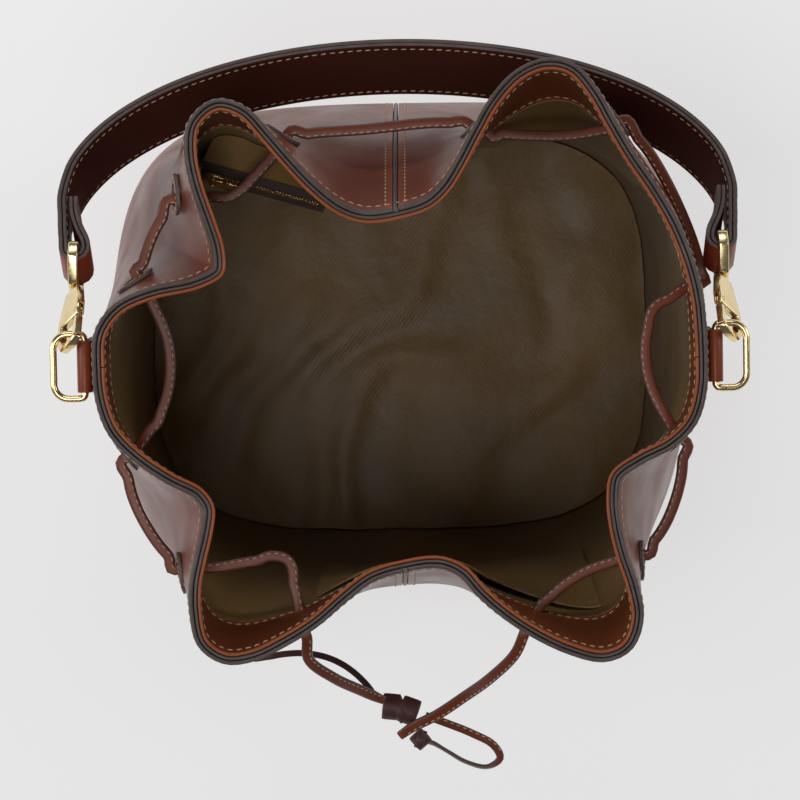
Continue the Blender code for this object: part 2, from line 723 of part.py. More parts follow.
# ------------------------------------------------------------------ side tabs and rings
def make_tab(name, side):
    """A leather strip folded over the ring's bar, with both ends on the wall."""
    heights = np.array([TAB_FOOT, 257 * MM, 268 * MM, 276 * MM])
    faces = [abs(wall_point(np.array((side * 131 * MM, 0)), height, OUTER[1])[0][0])
             for height in heights]
    inner = np.array(faces) + GAP + TAB_LEATHER / 2
    inner[-1] = RING_BAR_X - TAB_FOLD
    spread = np.array([1.7, 1.7, 2.4, 4.6]) * MM
    path = list(zip(inner, heights))
    path += arc((RING_BAR_X, RING_HEIGHT), TAB_FOLD, 180, 0, 9)
    path += list(zip((inner + spread)[::-1], heights[::-1]))
    path = np.array(path)
    half = np.full(len(path), TAB_WIDTH / 2)
    piece = ribbon(name, path, (-TAB_LEATHER / 2, TAB_LEATHER / 2), half, "outer_leather")
    piece.matrix_world = frame_matrix((side, 0, 0), (0, 0, 1), (0, 0, 0))


def make_ring(name, side):
    """A D-shaped ring, lying level, on a pivot along its bar."""
    at_bar, at_front = RING_CORNERS
    half, depth = RING_HALF_WIDTH, RING_DEPTH
    route = arc((at_bar, at_bar - half), at_bar, 180, 270, 4)
    route += arc((depth - at_front, at_front - half), at_front, -90, 0, 6)
    route += arc((depth - at_front, half - at_front), at_front, 0, 90, 6)
    route += arc((at_bar, half - at_bar), at_bar, 90, 180, 4)
    ring = rod(name, [(x, y, 0) for x, y in route], RING_RADIUS, "brass", closed=True)
    place = (side * RING_BAR_X, 0, RING_HEIGHT)
    carry(add_pivot(f"{name}_pivot", frame_matrix((side, 0, 0), (0, 1, 0), place)), ring)


# ------------------------------------------------------------------ handle
def handle_matrix():
    along = (0, math.cos(HANDLE_DROP), -math.sin(HANDLE_DROP))
    return frame_matrix((1, 0, 0), along, HANDLE_AXIS)


def handle_path():
    """Middle of the strap's thickness, from the right folded end over the arch to the left."""
    half_width, rise, middle = ARCH
    fold = STRAP_FOLD
    right = STRAP_END + arc(fold[:2], fold[2], 180, 360, 9) + STRAP_RISE
    angles = np.radians(np.concatenate([[14, 22, 31, 41, 52, 64, 77], [90]]))
    right += [(half_width * math.cos(angle), middle + rise * math.sin(angle)) for angle in angles]
    left = [(-x, y) for x, y in right[-2::-1]]
    return np.array(right + left) * MM


def make_handle(pivot):
    path = handle_path()
    half = np.interp(path[:, 1], HANDLE_TAPER, HANDLE_HALF_WIDTHS)
    outer = ribbon("handle_outer", path, HANDLE_OUTER, half, "outer_leather")
    lining = ribbon("handle_lining", path, HANDLE_LINING, half, "facing_leather")
    for piece in (outer, lining):
        piece.data.transform(Matrix.Translation((0, 0, HANDLE_OFFSET)))
    carry(pivot, outer, lining)


# ------------------------------------------------------------------ snap hooks
def hook_outline():
    """The hook's C shape with its plate, counter-clockwise from the plate's gate side."""
    length, width, metal = HOOK_HALF_LENGTH, HOOK_HALF_WIDTH, HOOK_METAL
    return [(-7.0, PLATE_TOP), (-9.6, length + 5), (-9.6, length - metal),
            (width - metal, length - metal), (width - metal, 4.5 - length),
            (width - 4, metal - length), (-8.6, metal - length), (-8.4, 0.4 - length),
            (3.3 - width, -length - metal), (width - 3, -length - metal),
            (width + metal, 3.5 - length), (width + metal, length + 1.5),
            (6.0, length + 9.5), (4.0, PLATE_TOP)]


def gate_outline():
    pin_x, pin_y = GATE_PIN
    low, shoulder, top = HOOK_METAL - HOOK_HALF_LENGTH + 0.3, 4.4, pin_y + 1.7
    return [(-8.9, low), (-5.9, low), (-5.9, shoulder), (pin_x + 1.7, shoulder + 0.4),
            (pin_x + 1.7, top - 0.7), (pin_x + 0.8, top), (pin_x - 0.8, top),
            (pin_x - 1.7, top - 0.7), (pin_x - 1.7, shoulder + 0.4), (-8.9, shoulder)]


def make_hook(side_name, side):
    """One snap hook: a plate and a bow, with a gate on a pin across its opening."""
    along = (-math.sin(HOOK_LEAN), math.cos(HOOK_LEAN) * math.cos(HANDLE_DROP),
             -math.cos(HOOK_LEAN) * math.sin(HANDLE_DROP))
    outward = Vector((math.cos(HOOK_LEAN), math.sin(HOOK_LEAN) * math.cos(HANDLE_DROP),
                      -math.sin(HOOK_LEAN) * math.sin(HANDLE_DROP)))
    square = Vector((0, math.sin(HANDLE_DROP), math.cos(HANDLE_DROP)))
    across = outward * math.cos(HOOK_TURN) - square * math.sin(HOOK_TURN)
    place = mirrored(HOOK_PLACE, side)
    matrix = frame_matrix(mirrored(across, side), mirrored(along, side), place)
    pivot = add_pivot(f"hook_{side_name}_pivot", matrix)

    body = prism(f"hook_body_{side_name}", hook_outline(), HOOK_THICKNESS, "brass")
    soften(body, HOOK_BEVEL)
    pin_x, pin_y = (value * MM for value in GATE_PIN)
    post_place = Matrix.Translation((0, PLATE_TOP * MM, 0)) @ Matrix.Rotation(math.pi / 2, 4, "X")
    slot_size = (7.6 * MM, 8.2 * MM, TONGUE_SLOT)
    slot_place = Matrix.Translation((-7.2 * MM, 7.1 * MM, 0))
    pin_place = Matrix.Translation((pin_x, pin_y, 0))
    hole = cylinder_mesh("pin_hole", PIN_HOLE_RADIUS, 8 * MM)
    cutters = [("post_hole", cylinder_mesh("post_hole", POST_HOLE_RADIUS, 2 * POST_HOLE_DEPTH),
                post_place),
               ("tongue_slot", box_mesh("tongue_slot", slot_size), slot_place),
               ("pin_hole", hole, pin_place)]
    for name, data, local in cutters:
        cut(body, add_cutter(f"{name}_{side_name}", data, matrix @ local))

    gate = prism(f"hook_gate_{side_name}", gate_outline(), GATE_THICKNESS, "brass")
    cheek = (GATE_THICKNESS - TONGUE_THICKNESS) / 2
    for number, face in enumerate((-1, 1)):
        data = box_mesh("tongue_side", (8 * MM, 8 * MM, 2 * cheek))
        local = Matrix.Translation((pin_x, 4.4 * MM + 4 * MM, face * GATE_THICKNESS / 2))
        cut(gate, add_cutter(f"tongue_side_{side_name}_{number}", data, matrix @ local))
    data = cylinder_mesh("gate_hole", PIN_HOLE_RADIUS, 8 * MM)
    cut(gate, add_cutter(f"gate_hole_{side_name}", data, matrix @ pin_place))

    pin = add_object(f"gate_pin_{side_name}", cylinder_mesh("pin", GATE_PIN_RADIUS, HOOK_THICKNESS),
                     "brass")
    pin.location = (pin_x, pin_y, 0)
    carry(pivot, body, pin)
    gate_pivot = add_pivot(f"gate_{side_name}_pivot", matrix @ pin_place)
    gate.data.transform(pin_place.inverted())
    carry(gate_pivot, gate)
    return frame_matrix(square, mirrored(along, side), place)


def make_strap_ring(side_name, handle_pivot, matrix):
    """The tapered ring sewn into the strap, and the post on which the hook turns."""
    (low, high), (narrow, wide) = STRAP_RING_REACH, STRAP_RING_HALVES
    wire = STRAP_RING_WIRE
    outer = [(narrow - 1.4, low - wire / 2), (narrow, low + 0.2), (wide - 0.6, high - 7.0),
             (wide, high - 0.6), (wide - 1.6, high + wire / 2)]
    inner = [(narrow - wire - 0.8, low + wire / 2), (narrow - wire + 0.1, low + wire / 2 + 0.9),
             (wide - wire - 1.1, high - 6.0), (wide - wire - 0.3, high - wire / 2 - 1.0),
             (wide - wire - 1.1, high - wire / 2)]
    outlines = []
    for half in (outer, inner):
        whole = half + [(-x, y) for x, y in half[::-1]]
        outlines.append([(x * MM, y * MM) for x, y in whole])
    name = f"strap_ring_{side_name}"
    thickness = STRAP_RING_THICKNESS / 2
    ring = add_object(name, ring_mesh(name, *outlines, -thickness, thickness), "brass")
    soften(ring, 0.6 * MM)
    post_top = (low - wire / 2) * MM - GAP
    post_end = PLATE_TOP * MM - POST_HOLE_DEPTH + GAP
    post = add_object(f"swivel_post_{side_name}", cylinder_mesh("post", POST_RADIUS, post_top - post_end),
                      "brass")
    turn = Matrix.Rotation(math.pi / 2, 4, "X")
    post.data.transform(Matrix.Translation((0, (post_top + post_end) / 2, 0)) @ turn)
    for piece in (ring, post):
        piece.data.transform(handle_matrix().inverted() @ matrix)
    carry(handle_pivot, ring, post)


# ------------------------------------------------------------------ pockets
def lining_rows():
    return wall_rows(-1, FACING_ROW)


def on_lining(row, columns, offset):
    """Lining points at a row between its own rows, where its flat strips really run."""
    rows = lining_rows()
    above = next(index for index, known in enumerate(rows) if known >= row - 1e-9)
    low, high = rows[above - 1], rows[above]
    share = (row - low) / (high - low)
    return wall_ring(low, offset)[columns] * (1 - share) + wall_ring(high, offset)[columns] * share


def make_slip_pocket():
    """An open cloth pocket on the front of the lining."""
    rim = wall_outline(0.74)[0]
    columns = [column % COLUMNS for column in range(-20, 20, 2)
               if SLIP_POCKET_X[0] < rim[column % COLUMNS][0] < SLIP_POCKET_X[1]]
    gape = np.sin(np.linspace(0, math.pi, len(columns)))[:, None] * SLIP_POCKET_GAPE
    grids = []
    for offset in (LINING[0] - 0.5 * MM, LINING[0] - 0.5 * MM - POCKET_THICKNESS):
        rows = [on_lining(row, columns, offset) for row in (0.2, 0.4, 0.58, 0.7)]
        top = on_lining(0.748, columns, offset)
        inward = on_lining(0.748, columns, offset - 1 * MM) - top
        top = top + inward / np.linalg.norm(inward, axis=1)[:, None] * gape
        grids.append(np.array(rows + [top]))
    slab("slip_pocket", *grids, "lining_cloth")


def zip_matrix():
    """X along the zip, Y down its slope into the bag, Z off its face."""
    along = (Vector(ZIP_END) - Vector(ZIP_START)).normalized()
    inward = Vector((along.y, -along.x, 0))
    down = inward * math.cos(ZIP_TILT) - Vector((0, 0, 1)) * math.sin(ZIP_TILT)
    turn = Matrix((along, -down, along.cross(-down))).transposed().to_4x4()
    return Matrix.Translation(Vector(ZIP_START)) @ turn


def make_zip_pocket():
    """A cloth pocket hung inside the lining, closed by a zip along its top edge."""
    frame = zip_matrix()
    length = (Vector(ZIP_END) - Vector(ZIP_START)).length
    columns = list(range(42, 50, 2))
    shares = np.linspace(1, 0, len(columns))
    backs, fronts = [], []
    lower = TAPE_SIZE[0] / 2 + 1 * MM
    for row, down, reach in ((0.2, 0, 0.08), (0.4, 0, 0.45), (0.58, 0, 0.8),
                             (0.70, lower, None), (0.7357, -lower, None)):
        back = on_lining(row, columns, LINING[0] - 1.6 * MM)
        backs.append(back)
        line = []
        for share, point in zip(shares, back):
            spot = frame @ Vector((share * length, -down, -TAPE_SIZE[1] - GAP))
            if reach:
                edge = np.array(frame @ Vector((share * length, -lower, -TAPE_SIZE[1] - GAP)))
                spot = point + (edge - point) * (1, 1, 0) * reach
            line.append(np.array(spot))
        fronts.append(np.array(line))
    slab("zip_pocket", np.array(backs), np.array(fronts), "lining_cloth")

    tape = add_object("zip_tape", box_mesh("zip_tape", (length, *TAPE_SIZE)), "edge_paint")
    teeth_data = box_mesh("zip_teeth", (length - 4 * MM, *TEETH_SIZE))
    teeth = add_object("zip_teeth", teeth_data, "brass")
    tape.matrix_world = frame @ Matrix.Translation((length / 2, 0, -TAPE_SIZE[1] / 2))
    teeth_top = GAP + TEETH_SIZE[1]
    teeth.matrix_world = frame @ Matrix.Translation((length / 2, 0, GAP + TEETH_SIZE[1] / 2))

    start = frame @ Matrix.Translation((2 * MM + SLIDER_LENGTH / 2, 0, teeth_top + GAP))
    slider_pivot = add_pivot("zip_slider_pivot", start)
    half = SLIDER_LENGTH * 500
    plate = [(-half, -2.2), (-half + 1.5, -3.2), (half - 1.5, -3.2), (half, -2.2),
             (half, 2.2), (half - 1.5, 3.2), (-half + 1.5, 3.2), (-half, 2.2)]
    slider = prism("zip_slider", plate, 1.4 * MM, "brass")
    slider.data.transform(Matrix.Translation((0, 0, 0.7 * MM)))
    ears = [prism(f"ear_{index}", [(-1.2, -0.5), (1.2, -0.5), (1.2, 0.5), (-1.2, 0.5)],
                  2.6 * MM, "brass") for index in range(2)]
    for ear, offset in zip(ears, (-2.2, 2.2)):
        ear.data.transform(Matrix.Translation((0, offset * MM, 2.4 * MM)))
        join = slider.modifiers.new(ear.name, "BOOLEAN")
        join.operation = "UNION"
        join.object = ear
        ear.hide_render = True
        ear.display_type = "WIRE"
        collection(BAG).objects.unlink(ear)
        collection("cutters").objects.link(ear)
        ear.matrix_world = start
    carry(slider_pivot, slider)

    pull_axis = start @ Matrix.Translation((0, 0, 2.9 * MM))
    pull_pivot = add_pivot("zip_pull_pivot", pull_axis)
    pull = prism("zip_pull", [(-0.7, -1.4), (5, -1.4), (6, -2.6), (ZIP_PULL_LENGTH * 1000 - 1, -2.6),
                              (ZIP_PULL_LENGTH * 1000, -1.6), (ZIP_PULL_LENGTH * 1000, 1.6),
                              (ZIP_PULL_LENGTH * 1000 - 1, 2.6), (6, 2.6), (5, 1.4), (-0.7, 1.4)],
                 1.2 * MM, "brass")
    carry(pull_pivot, pull)


def main():
    clear_scene()
    outer = make_outer_halves()
    make_welts()
    make_rim_stiffener()
    facings = make_facings()
    make_lining()
    make_bottom()
    make_slots(outer, facings)
    make_drawcord()
    make_slip_pocket()
    make_zip_pocket()
    handle_pivot = add_pivot("handle_pivot", handle_matrix())
    make_handle(handle_pivot)
    for side_name, side in (("right", 1), ("left", -1)):
        make_tab(f"tab_{side_name}", side)
        make_ring(f"d_ring_{side_name}", side)
        ring_frame = make_hook(side_name, side)
        make_strap_ring(side_name, handle_pivot, ring_frame)


main()
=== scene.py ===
"""Open leather bucket bag: its stage, leather, lining, cords, hardware and stitching.

Everything is in metres in the part's own frame: X to the bag's right, Y to its back, Z up.
"""

import math

import bmesh
import bpy
import numpy as np
from mathutils import Matrix, Vector, noise


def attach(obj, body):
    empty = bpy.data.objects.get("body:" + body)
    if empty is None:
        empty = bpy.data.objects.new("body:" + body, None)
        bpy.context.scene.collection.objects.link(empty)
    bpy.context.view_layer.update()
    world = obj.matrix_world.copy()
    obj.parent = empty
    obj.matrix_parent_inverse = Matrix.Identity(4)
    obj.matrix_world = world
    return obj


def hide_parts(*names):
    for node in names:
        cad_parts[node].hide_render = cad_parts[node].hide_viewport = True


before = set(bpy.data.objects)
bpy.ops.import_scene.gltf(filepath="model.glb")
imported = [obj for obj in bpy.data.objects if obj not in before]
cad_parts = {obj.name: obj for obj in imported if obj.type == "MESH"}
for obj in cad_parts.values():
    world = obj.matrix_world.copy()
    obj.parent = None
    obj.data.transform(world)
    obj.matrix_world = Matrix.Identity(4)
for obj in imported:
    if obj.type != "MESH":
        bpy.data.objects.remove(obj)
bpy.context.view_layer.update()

bl_info = {
    "name": "Bucket Bag",
    "version": (1, 0, 0),
    "blender": (4, 5, 0),
    "location": "View3D > Sidebar > Bag",
    "description": "Leather, lining, cords, hardware and stitching of an open bucket bag",
    "category": "Object",
}

MM = 0.001
GAP = 0.3 * MM

# ---- bag wall, as the solids have it
BAG_HEIGHT = 290 * MM
BELLY_HEIGHT = 80 * MM
SLANT = BAG_HEIGHT - BELLY_HEIGHT
BASE_HALF = (130 * MM, 105 * MM)
BELLY_HALF = (134 * MM, 112 * MM)
OUTLINE_POWER = 3.6
MOUTH_BEND = 2.0
STRAP_HOLLOW = 12 * MM
HOLLOW_ROWS = (0.1, 0.95)
HOLLOW_PLACES = (70 * MM, 100 * MM)
COLUMNS_PER_QUARTER = 60
BEND_WEIGHT = 14 * MM
FACING = (-0.8 * MM, 0.8 * MM)
STIFFENER = (1.1 * MM, 2.5 * MM)
OUTER = (2.8 * MM, 4.8 * MM)
LINING = (-0.8 * MM, 0.0)
FACING_ROW = 0.7857
STIFFENER_ROW = 0.905
BASE_LEATHER = 2.2 * MM
BASE_BOARD = 1.8 * MM
FLOOR_CLOTH = 0.8 * MM
FRONT_TO_RIGHT = [
    (0, -88), (16, -86.5), (27, -91), (36, -101), (46, -110), (59, -119), (74, -126.5),
    (88, -130), (97, -126), (101, -115), (99, -102), (94.5, -88), (91.5, -75), (90.5, -62),
    (92.5, -51), (104, -42.5), (117, -36), (126, -27), (130, -14)]
RIGHT_TO_BACK = [
    (130.5, 0), (130, 14), (129, 25), (125.5, 40), (119, 57), (110, 73), (100, 88), (91.5, 103),
    (85, 115), (76, 125.5), (66, 127.5), (55, 123), (45, 112.5), (37, 99), (30, 86), (23, 75),
    (14.5, 67.5)]
BACK_TO_LEFT = [
    (0, 63), (-14, 61.5), (-26, 65.5), (-38, 75), (-49, 87), (-59, 99), (-68, 109), (-78, 112),
    (-86.5, 105), (-88, 94), (-86, 81), (-81, 65), (-77, 51), (-77.5, 40), (-88, 34),
    (-108, 30), (-122, 24), (-129.5, 14)]
LEFT_TO_FRONT = [
    (-130.5, 0), (-129.5, -14), (-125, -27), (-115, -38), (-101, -48), (-88.5, -55),
    (-83.5, -63), (-84.5, -74), (-87.5, -86), (-90, -98), (-90, -111), (-87.5, -122),
    (-79, -128), (-68, -127), (-55, -121), (-41, -112.5), (-28, -101.5), (-15.5, -92.5)]

# ---- drawcord, its slots and its loose ends
CORD_HEIGHT = 251 * MM
SLOTS = [(-46, -122), (-90, -94), (-122, -39), (-112.5, 28), (-92, 75), (-56, 92),
         (35.5, 104), (88, 97), (124, 28), (126, -36), (102, -93.5), (56, -121)]
SLOT_SIZE = (10 * MM, 5.6 * MM)
PATCH_SIZE = (18 * MM, 13 * MM)
PATCH_THICKNESS = 1.4 * MM
PATCH_SEAM = 4.9 * MM                   # radius of its stitching at both ends
INSIDE_RUNS = {
    1: [(-48, -103), (-47.5, -95), (-50.5, -88.5), (-60.5, -86), (-71, -91.5), (-81, -96)],
    3: [(-108, -30), (-103, -10), (-102, 12)],
    5: [(-78, 70), (-66, 76)],
    7: [(48, 98), (62, 100), (76, 96)],
    9: [(112, 22), (109, -5), (114, -24)],
    11: [(88, -93), (77, -99), (67, -108)]}
OUTSIDE_RUNS = {
    2: [(-107, -86), (-116, -77), (-122, -65), (-124.5, -54)],
    4: [(-116, 44), (-108, 62)],
    6: [(-36, 101), (-10, 103), (14, 105)],
    8: [(112, 93, 250), (119, 82, 247), (125.5, 70.5, 243), (130, 59.5, 241), (133, 50, 241.5),
        (136, 43, 242), (138.3, 38, 244.6), (139.1, 33.5, 248)],
    10: [(128, -50), (125.5, -62), (121.5, -75), (114.5, -87)]}
TAIL_LEFT = [(-44, -137, 244), (-33, -148, 230), (-20, -157, 213), (-11, -163, 201)]
TAIL_RIGHT = [(50, -136, 246), (39, -149, 232), (27, -160, 216), (14, -170, 206),
              (3, -176, 201.5), (-3, -180.5, 198)]
KNOT_CENTRE = (-3, -168.5, 194)
LOOP_ROUTE = [(9, -172.5, 191), (20, -177, 189), (31, -182, 187), (41, -188, 185.5),
              (44, -194.5, 184.5), (38, -198.5, 184), (28, -196, 184.5), (19, -190.5, 185.5),
              (12.5, -186.5, 186)]
LOOP_END = (9.6, -185.6, 186)           # where the loop goes into the knob
END_KNOB = (6.5, -184.5, 186)
LACE_ROUTE = [(-13.5, -164, 193), (-19, -156, 195), (-27, -148, 199), (-36, -142.5, 203.5),
              (-47, -139.5, 208), (-59, -139.5, 212), (-70, -142, 214)]

# ---- side tabs, rings and handle
RING_BAR_X = 139.4 * MM
RING_HEIGHT = 280 * MM
RING_HALF_WIDTH = 14.3 * MM
RING_DEPTH = 13.8 * MM
RING_RADIUS = 1.6 * MM
RING_CORNERS = (2.5 * MM, 6.5 * MM)
TAB_WIDTH = 23 * MM
TAB_LEATHER = 1.4 * MM
TAB_FOLD = 2.65 * MM
TAB_FOOT = 246 * MM
HANDLE_AXIS = (0, 12.73 * MM, 281.8 * MM)
HANDLE_DROP = math.radians(35)
HANDLE_HALF_WIDTHS = (10.2 * MM, 19 * MM)
HANDLE_OFFSET = -0.9 * MM
HANDLE_TAPER = (46 * MM, 80 * MM)
HANDLE_OUTER = (0.15 * MM, 2.15 * MM)
HANDLE_LINING = (-1.85 * MM, -0.15 * MM)
STRAP_FOLD = (144.1, 42, 4.9)
STRAP_END = [(145.0, 66), (144.6, 59), (142.4, 52), (139.8, 46.5)]
STRAP_RISE = [(149.2, 46.5), (149.6, 52), (149.8, 59), (150, 67)]
ARCH = (150, 84, 62)

# ---- knot, knob and loose ends: shift along the axis, tilt, radii and width of each wrap, mm
KNOT_AXIS = (1, -0.25, 0)
KNOT_WRAPS = ((-4.2, 0.14, (5.5, 4.4), 8.0), (4.2, -0.12, (5.7, 4.5), 8.6),
              (0.2, 0.55, (6.1, 4.8), 4.6))
KNOT_LEATHER = 1.5 * MM
KNOB_AXIS = (1, 0.4, 0)
KNOB_WRAPS = ((0, 0.35, (3.5, 2.7), 7.6), (0, -0.7, (3.9, 3.0), 4.2))
KNOB_LEATHER = 1.2 * MM
LOOP_SIZE = (3.7 * MM, 1.7 * MM)        # width and thickness
LOOP_TWIST = ((0, 0.45, 0.62, 0.9, 1), (0, 0, 1.1, 1.3, 1.0))
LACE_THICKNESS = 1.3 * MM

# ---- sewing and cutting
STITCH_LIFT = 0.1 * MM
SEAM_OFFSET = 4.4 * MM                  # from a welt to the stitches beside it
BASE_SEAM_HEIGHT = 7 * MM
FACING_HEM = 3.4 * MM
HANDLE_SEAM = 2.9 * MM                  # from the strap's edge
HANDLE_SEAM_START = 42 * MM             # from each end of the strap
TAB_SEAM = 2.2 * MM
CUTTER_REACH = 8 * MM
CORD_IN, CORD_OUT, CORD_END = 8, 9.2, 5     # the drawcord's reach through a slot, mm

# ---- pockets
ZIP_START = (-89 * MM, 85.5 * MM, 232 * MM)
ZIP_END = (-33 * MM, 69 * MM, 232 * MM)
ZIP_TILT = math.radians(50)
TAPE_SIZE = (12 * MM, 0.6 * MM)
TOOTH_PITCH = 1.5 * MM
TOOTH_SIZE = (0.62 * MM, 1.9 * MM, 1.1 * MM)
SLIP_POCKET_X = (-44 * MM, 92 * MM)
SLIP_POCKET_GAPE = 3.0 * MM

# ---- camera and lights: name, place, aim, size and power
CAMERA_PLACE = (0.0015, 0.0840, 1.790)
CAMERA_AIM = (-0.0003, -0.0166, 0.290)
CAMERA_UP = (0.01745, 0.99985, 0)
CAMERA_LENS = 154
FLOOR_GLOW = 0.56
WORLD_LIGHT = 0.10
LIGHTS = [
    ("overhead", (-0.25, -0.35, 2.2), (0, 0, 0.25), (0.8, 0.8), 9),
    ("left_bank", (-1.5, 0.1, 1.2), (0, 0, 0.2), (0.7, 1.2), 9),
    ("right_bank", (1.6, 0.4, 1.1), (0, 0, 0.2), (0.7, 1.2), 7),
    ("back_bank", (-0.2, 1.7, 1.3), (0, 0, 0.2), (1.4, 0.5), 8)]


# ------------------------------------------------------------------ settings
class BagSizes(bpy.types.PropertyGroup):
    """Sizes of the finish that a maker would change."""
    stitch_pitch: bpy.props.FloatProperty(
        name="Stitch pitch", description="Distance from stitch to stitch", default=4.1 * MM,
        min=0.0, unit="LENGTH", precision=5)
    stitch_width: bpy.props.FloatProperty(
        name="Thread width", description="Width of the sewing thread", default=0.75 * MM,
        min=0.0, unit="LENGTH", precision=5)
    seam_inset: bpy.props.FloatProperty(
        name="Rim seam", description="Distance of the rim's seam below the edge",
        default=4.2 * MM,
        min=0.0, unit="LENGTH", precision=5)
    cord_width: bpy.props.FloatProperty(
        name="Cord width", description="Width of the flat drawcord", default=5.0 * MM,
        min=0.0, unit="LENGTH", precision=5)
    cord_thickness: bpy.props.FloatProperty(
        name="Cord thickness", description="Thickness of the drawcord", default=2.9 * MM,
        min=0.0, unit="LENGTH", precision=5)
    lace_width: bpy.props.FloatProperty(
        name="Lace width", description="Width of the thin lace", default=3.0 * MM,
        min=0.0, unit="LENGTH", precision=5)
    wrinkle_depth: bpy.props.FloatProperty(
        name="Wrinkle depth", description="Depth of the lining's wrinkles", default=2.0 * MM,
        min=0.0, unit="LENGTH", precision=5)
    swell: bpy.props.FloatProperty(
        name="Leather swell", description="Soft unevenness of the outer leather", default=1.2 * MM,
        min=0.0, unit="LENGTH", precision=5)


class BagColours(bpy.types.PropertyGroup):
    """Base colours of the bag's finishes."""
    outer: bpy.props.FloatVectorProperty(
        name="Outer leather", description="Smooth leather outside", default=(0.165, 0.031, 0.010),
        min=0.0, max=1.0, subtype="COLOR")
    facing: bpy.props.FloatVectorProperty(
        name="Facing leather", description="Leather inside the mouth",
        default=(0.185, 0.047, 0.015), min=0.0, max=1.0, subtype="COLOR")
    edge: bpy.props.FloatVectorProperty(
        name="Edge paint", description="Painted cut edges", default=(0.052, 0.039, 0.036),
        min=0.0, max=1.0, subtype="COLOR")
    lining: bpy.props.FloatVectorProperty(
        name="Lining cloth", description="Satin cloth inside", default=(0.24, 0.138, 0.040),
        min=0.0, max=1.0, subtype="COLOR")
    cord: bpy.props.FloatVectorProperty(
        name="Cord leather", description="Drawcord", default=(0.155, 0.032, 0.011),
        min=0.0, max=1.0, subtype="COLOR")
    lace: bpy.props.FloatVectorProperty(
        name="Lace leather", description="Dark lace and knot", default=(0.050, 0.020, 0.018),
        min=0.0, max=1.0, subtype="COLOR")
    # Handle lining: partly the strap underside's own darker leather, partly painted shade,
    # darkened to stand in for the shade under the hanging strap.
    handle: bpy.props.FloatVectorProperty(
        name="Handle lining", description="Dark leather under the handle",
        default=(0.050, 0.013, 0.008), min=0.0, max=1.0, subtype="COLOR")
    thread: bpy.props.FloatVectorProperty(
        name="Thread", description="Sewing thread", default=(0.60, 0.42, 0.27),
        min=0.0, max=1.0, subtype="COLOR")
    brass: bpy.props.FloatVectorProperty(
        name="Brass", description="Pale gold hardware", default=(0.83, 0.66, 0.36),
        min=0.0, max=1.0, subtype="COLOR")
    board: bpy.props.FloatVectorProperty(
        name="Board", description="Stiffening board", default=(0.30, 0.24, 0.16),
        min=0.0, max=1.0, subtype="COLOR")
    floor: bpy.props.FloatVectorProperty(
        name="Floor", description="Pale studio floor", default=(0.42, 0.42, 0.42),
        min=0.0, max=1.0, subtype="COLOR")


def sizes():
    """The bag's sizes in this scene."""
    return bpy.context.scene.bag_sizes


def colours():
    """The bag's colours in this scene."""
    return bpy.context.scene.bag_colours


# ------------------------------------------------------------------ curves
def spline(points, closed=False, steps=12):
    """Centripetal Catmull-Rom curve through the points."""
    points = [np.array(point, float) for point in points]
    if closed:
        guide = [points[-1]] + points + points[:2]
    else:
        guide = [2 * points[0] - points[1]] + points + [2 * points[-1] - points[-2]]
    curve = []
    for first, start, end, last in zip(guide, guide[1:], guide[2:], guide[3:]):
        t1 = math.sqrt(np.linalg.norm(start - first))
        t2 = t1 + math.sqrt(np.linalg.norm(end - start))
        t3 = t2 + math.sqrt(np.linalg.norm(last - end))
        for step in range(steps):
            t = t1 + (t2 - t1) * step / steps
            a = start + (start - first) * (t - t1) / t1
            b = start + (end - start) * (t - t1) / (t2 - t1)
            c = end + (last - end) * (t - t2) / (t3 - t2)
            ab = a + (b - a) * t / t2
            bc = b + (c - b) * (t - t1) / (t3 - t1)
            curve.append(ab + (bc - ab) * (t - t1) / (t2 - t1))
    if not closed:
        curve.append(points[-1])
    return np.array(curve)


def lengths_along(curve):
    """Distance along a line at each of its points."""
    return np.concatenate([[0], np.cumsum(np.linalg.norm(np.diff(curve, axis=0), axis=1))])


def read_at(curve, marks, wanted):
    """Points of the curve where its marks reach the wanted values."""
    return np.column_stack([np.interp(wanted, marks, curve[:, axis])
                            for axis in range(curve.shape[1])])


def evenly(curve, spacing):
    """A line's points again at an even step."""
    marks = lengths_along(curve)
    count = max(2, round(marks[-1] / spacing))
    return read_at(curve, marks, np.linspace(0, marks[-1], count + 1))


def unit(vectors):
    """Directions of length one."""
    return vectors / np.linalg.norm(vectors, axis=-1, keepdims=True)


def tangents_of(curve, closed=False):
    """The direction of travel at each point of a line."""
    if closed:
        return unit(np.roll(curve, -1, axis=0) - np.roll(curve, 1, axis=0))
    return unit(np.gradient(curve, axis=0))


def arc(centre, radius, start, end, count):
    """Points along an arc between two angles in degrees."""
    angles = np.radians(np.linspace(start, end, count))
    return [(centre[0] + radius * math.cos(angle), centre[1] + radius * math.sin(angle))
            for angle in angles]


# ------------------------------------------------------------------ bag wall
def quarter_curves():
    """The rim's four quarters, each as a fine curve."""
    quarters = [FRONT_TO_RIGHT, RIGHT_TO_BACK, BACK_TO_LEFT, LEFT_TO_FRONT]
    points = [point for quarter in quarters for point in quarter]
    steps = 12
    curve = spline(points, closed=True, steps=steps) * MM
    curve = np.vstack([curve, curve[:1]])
    ends = np.cumsum([0] + [len(quarter) for quarter in quarters]) * steps
    return [curve[first:last + 1] for first, last in zip(ends, ends[1:])]


def columns_by_bend(curve):
    """Shares of a curve for the columns, closer together where it bends."""
    sides = np.diff(curve, axis=0)
    headings = np.unwrap(np.arctan2(sides[:, 1], sides[:, 0]))
    turns = np.abs(np.diff(headings, prepend=headings[0]))
    steps = np.linalg.norm(sides, axis=1) + BEND_WEIGHT * turns
    weight = np.concatenate([[0], np.cumsum(steps)])
    wanted = np.linspace(0, weight[-1], COLUMNS_PER_QUARTER + 1)[:-1]
    lengths = lengths_along(curve)
    return np.interp(wanted, weight, lengths) / lengths[-1]


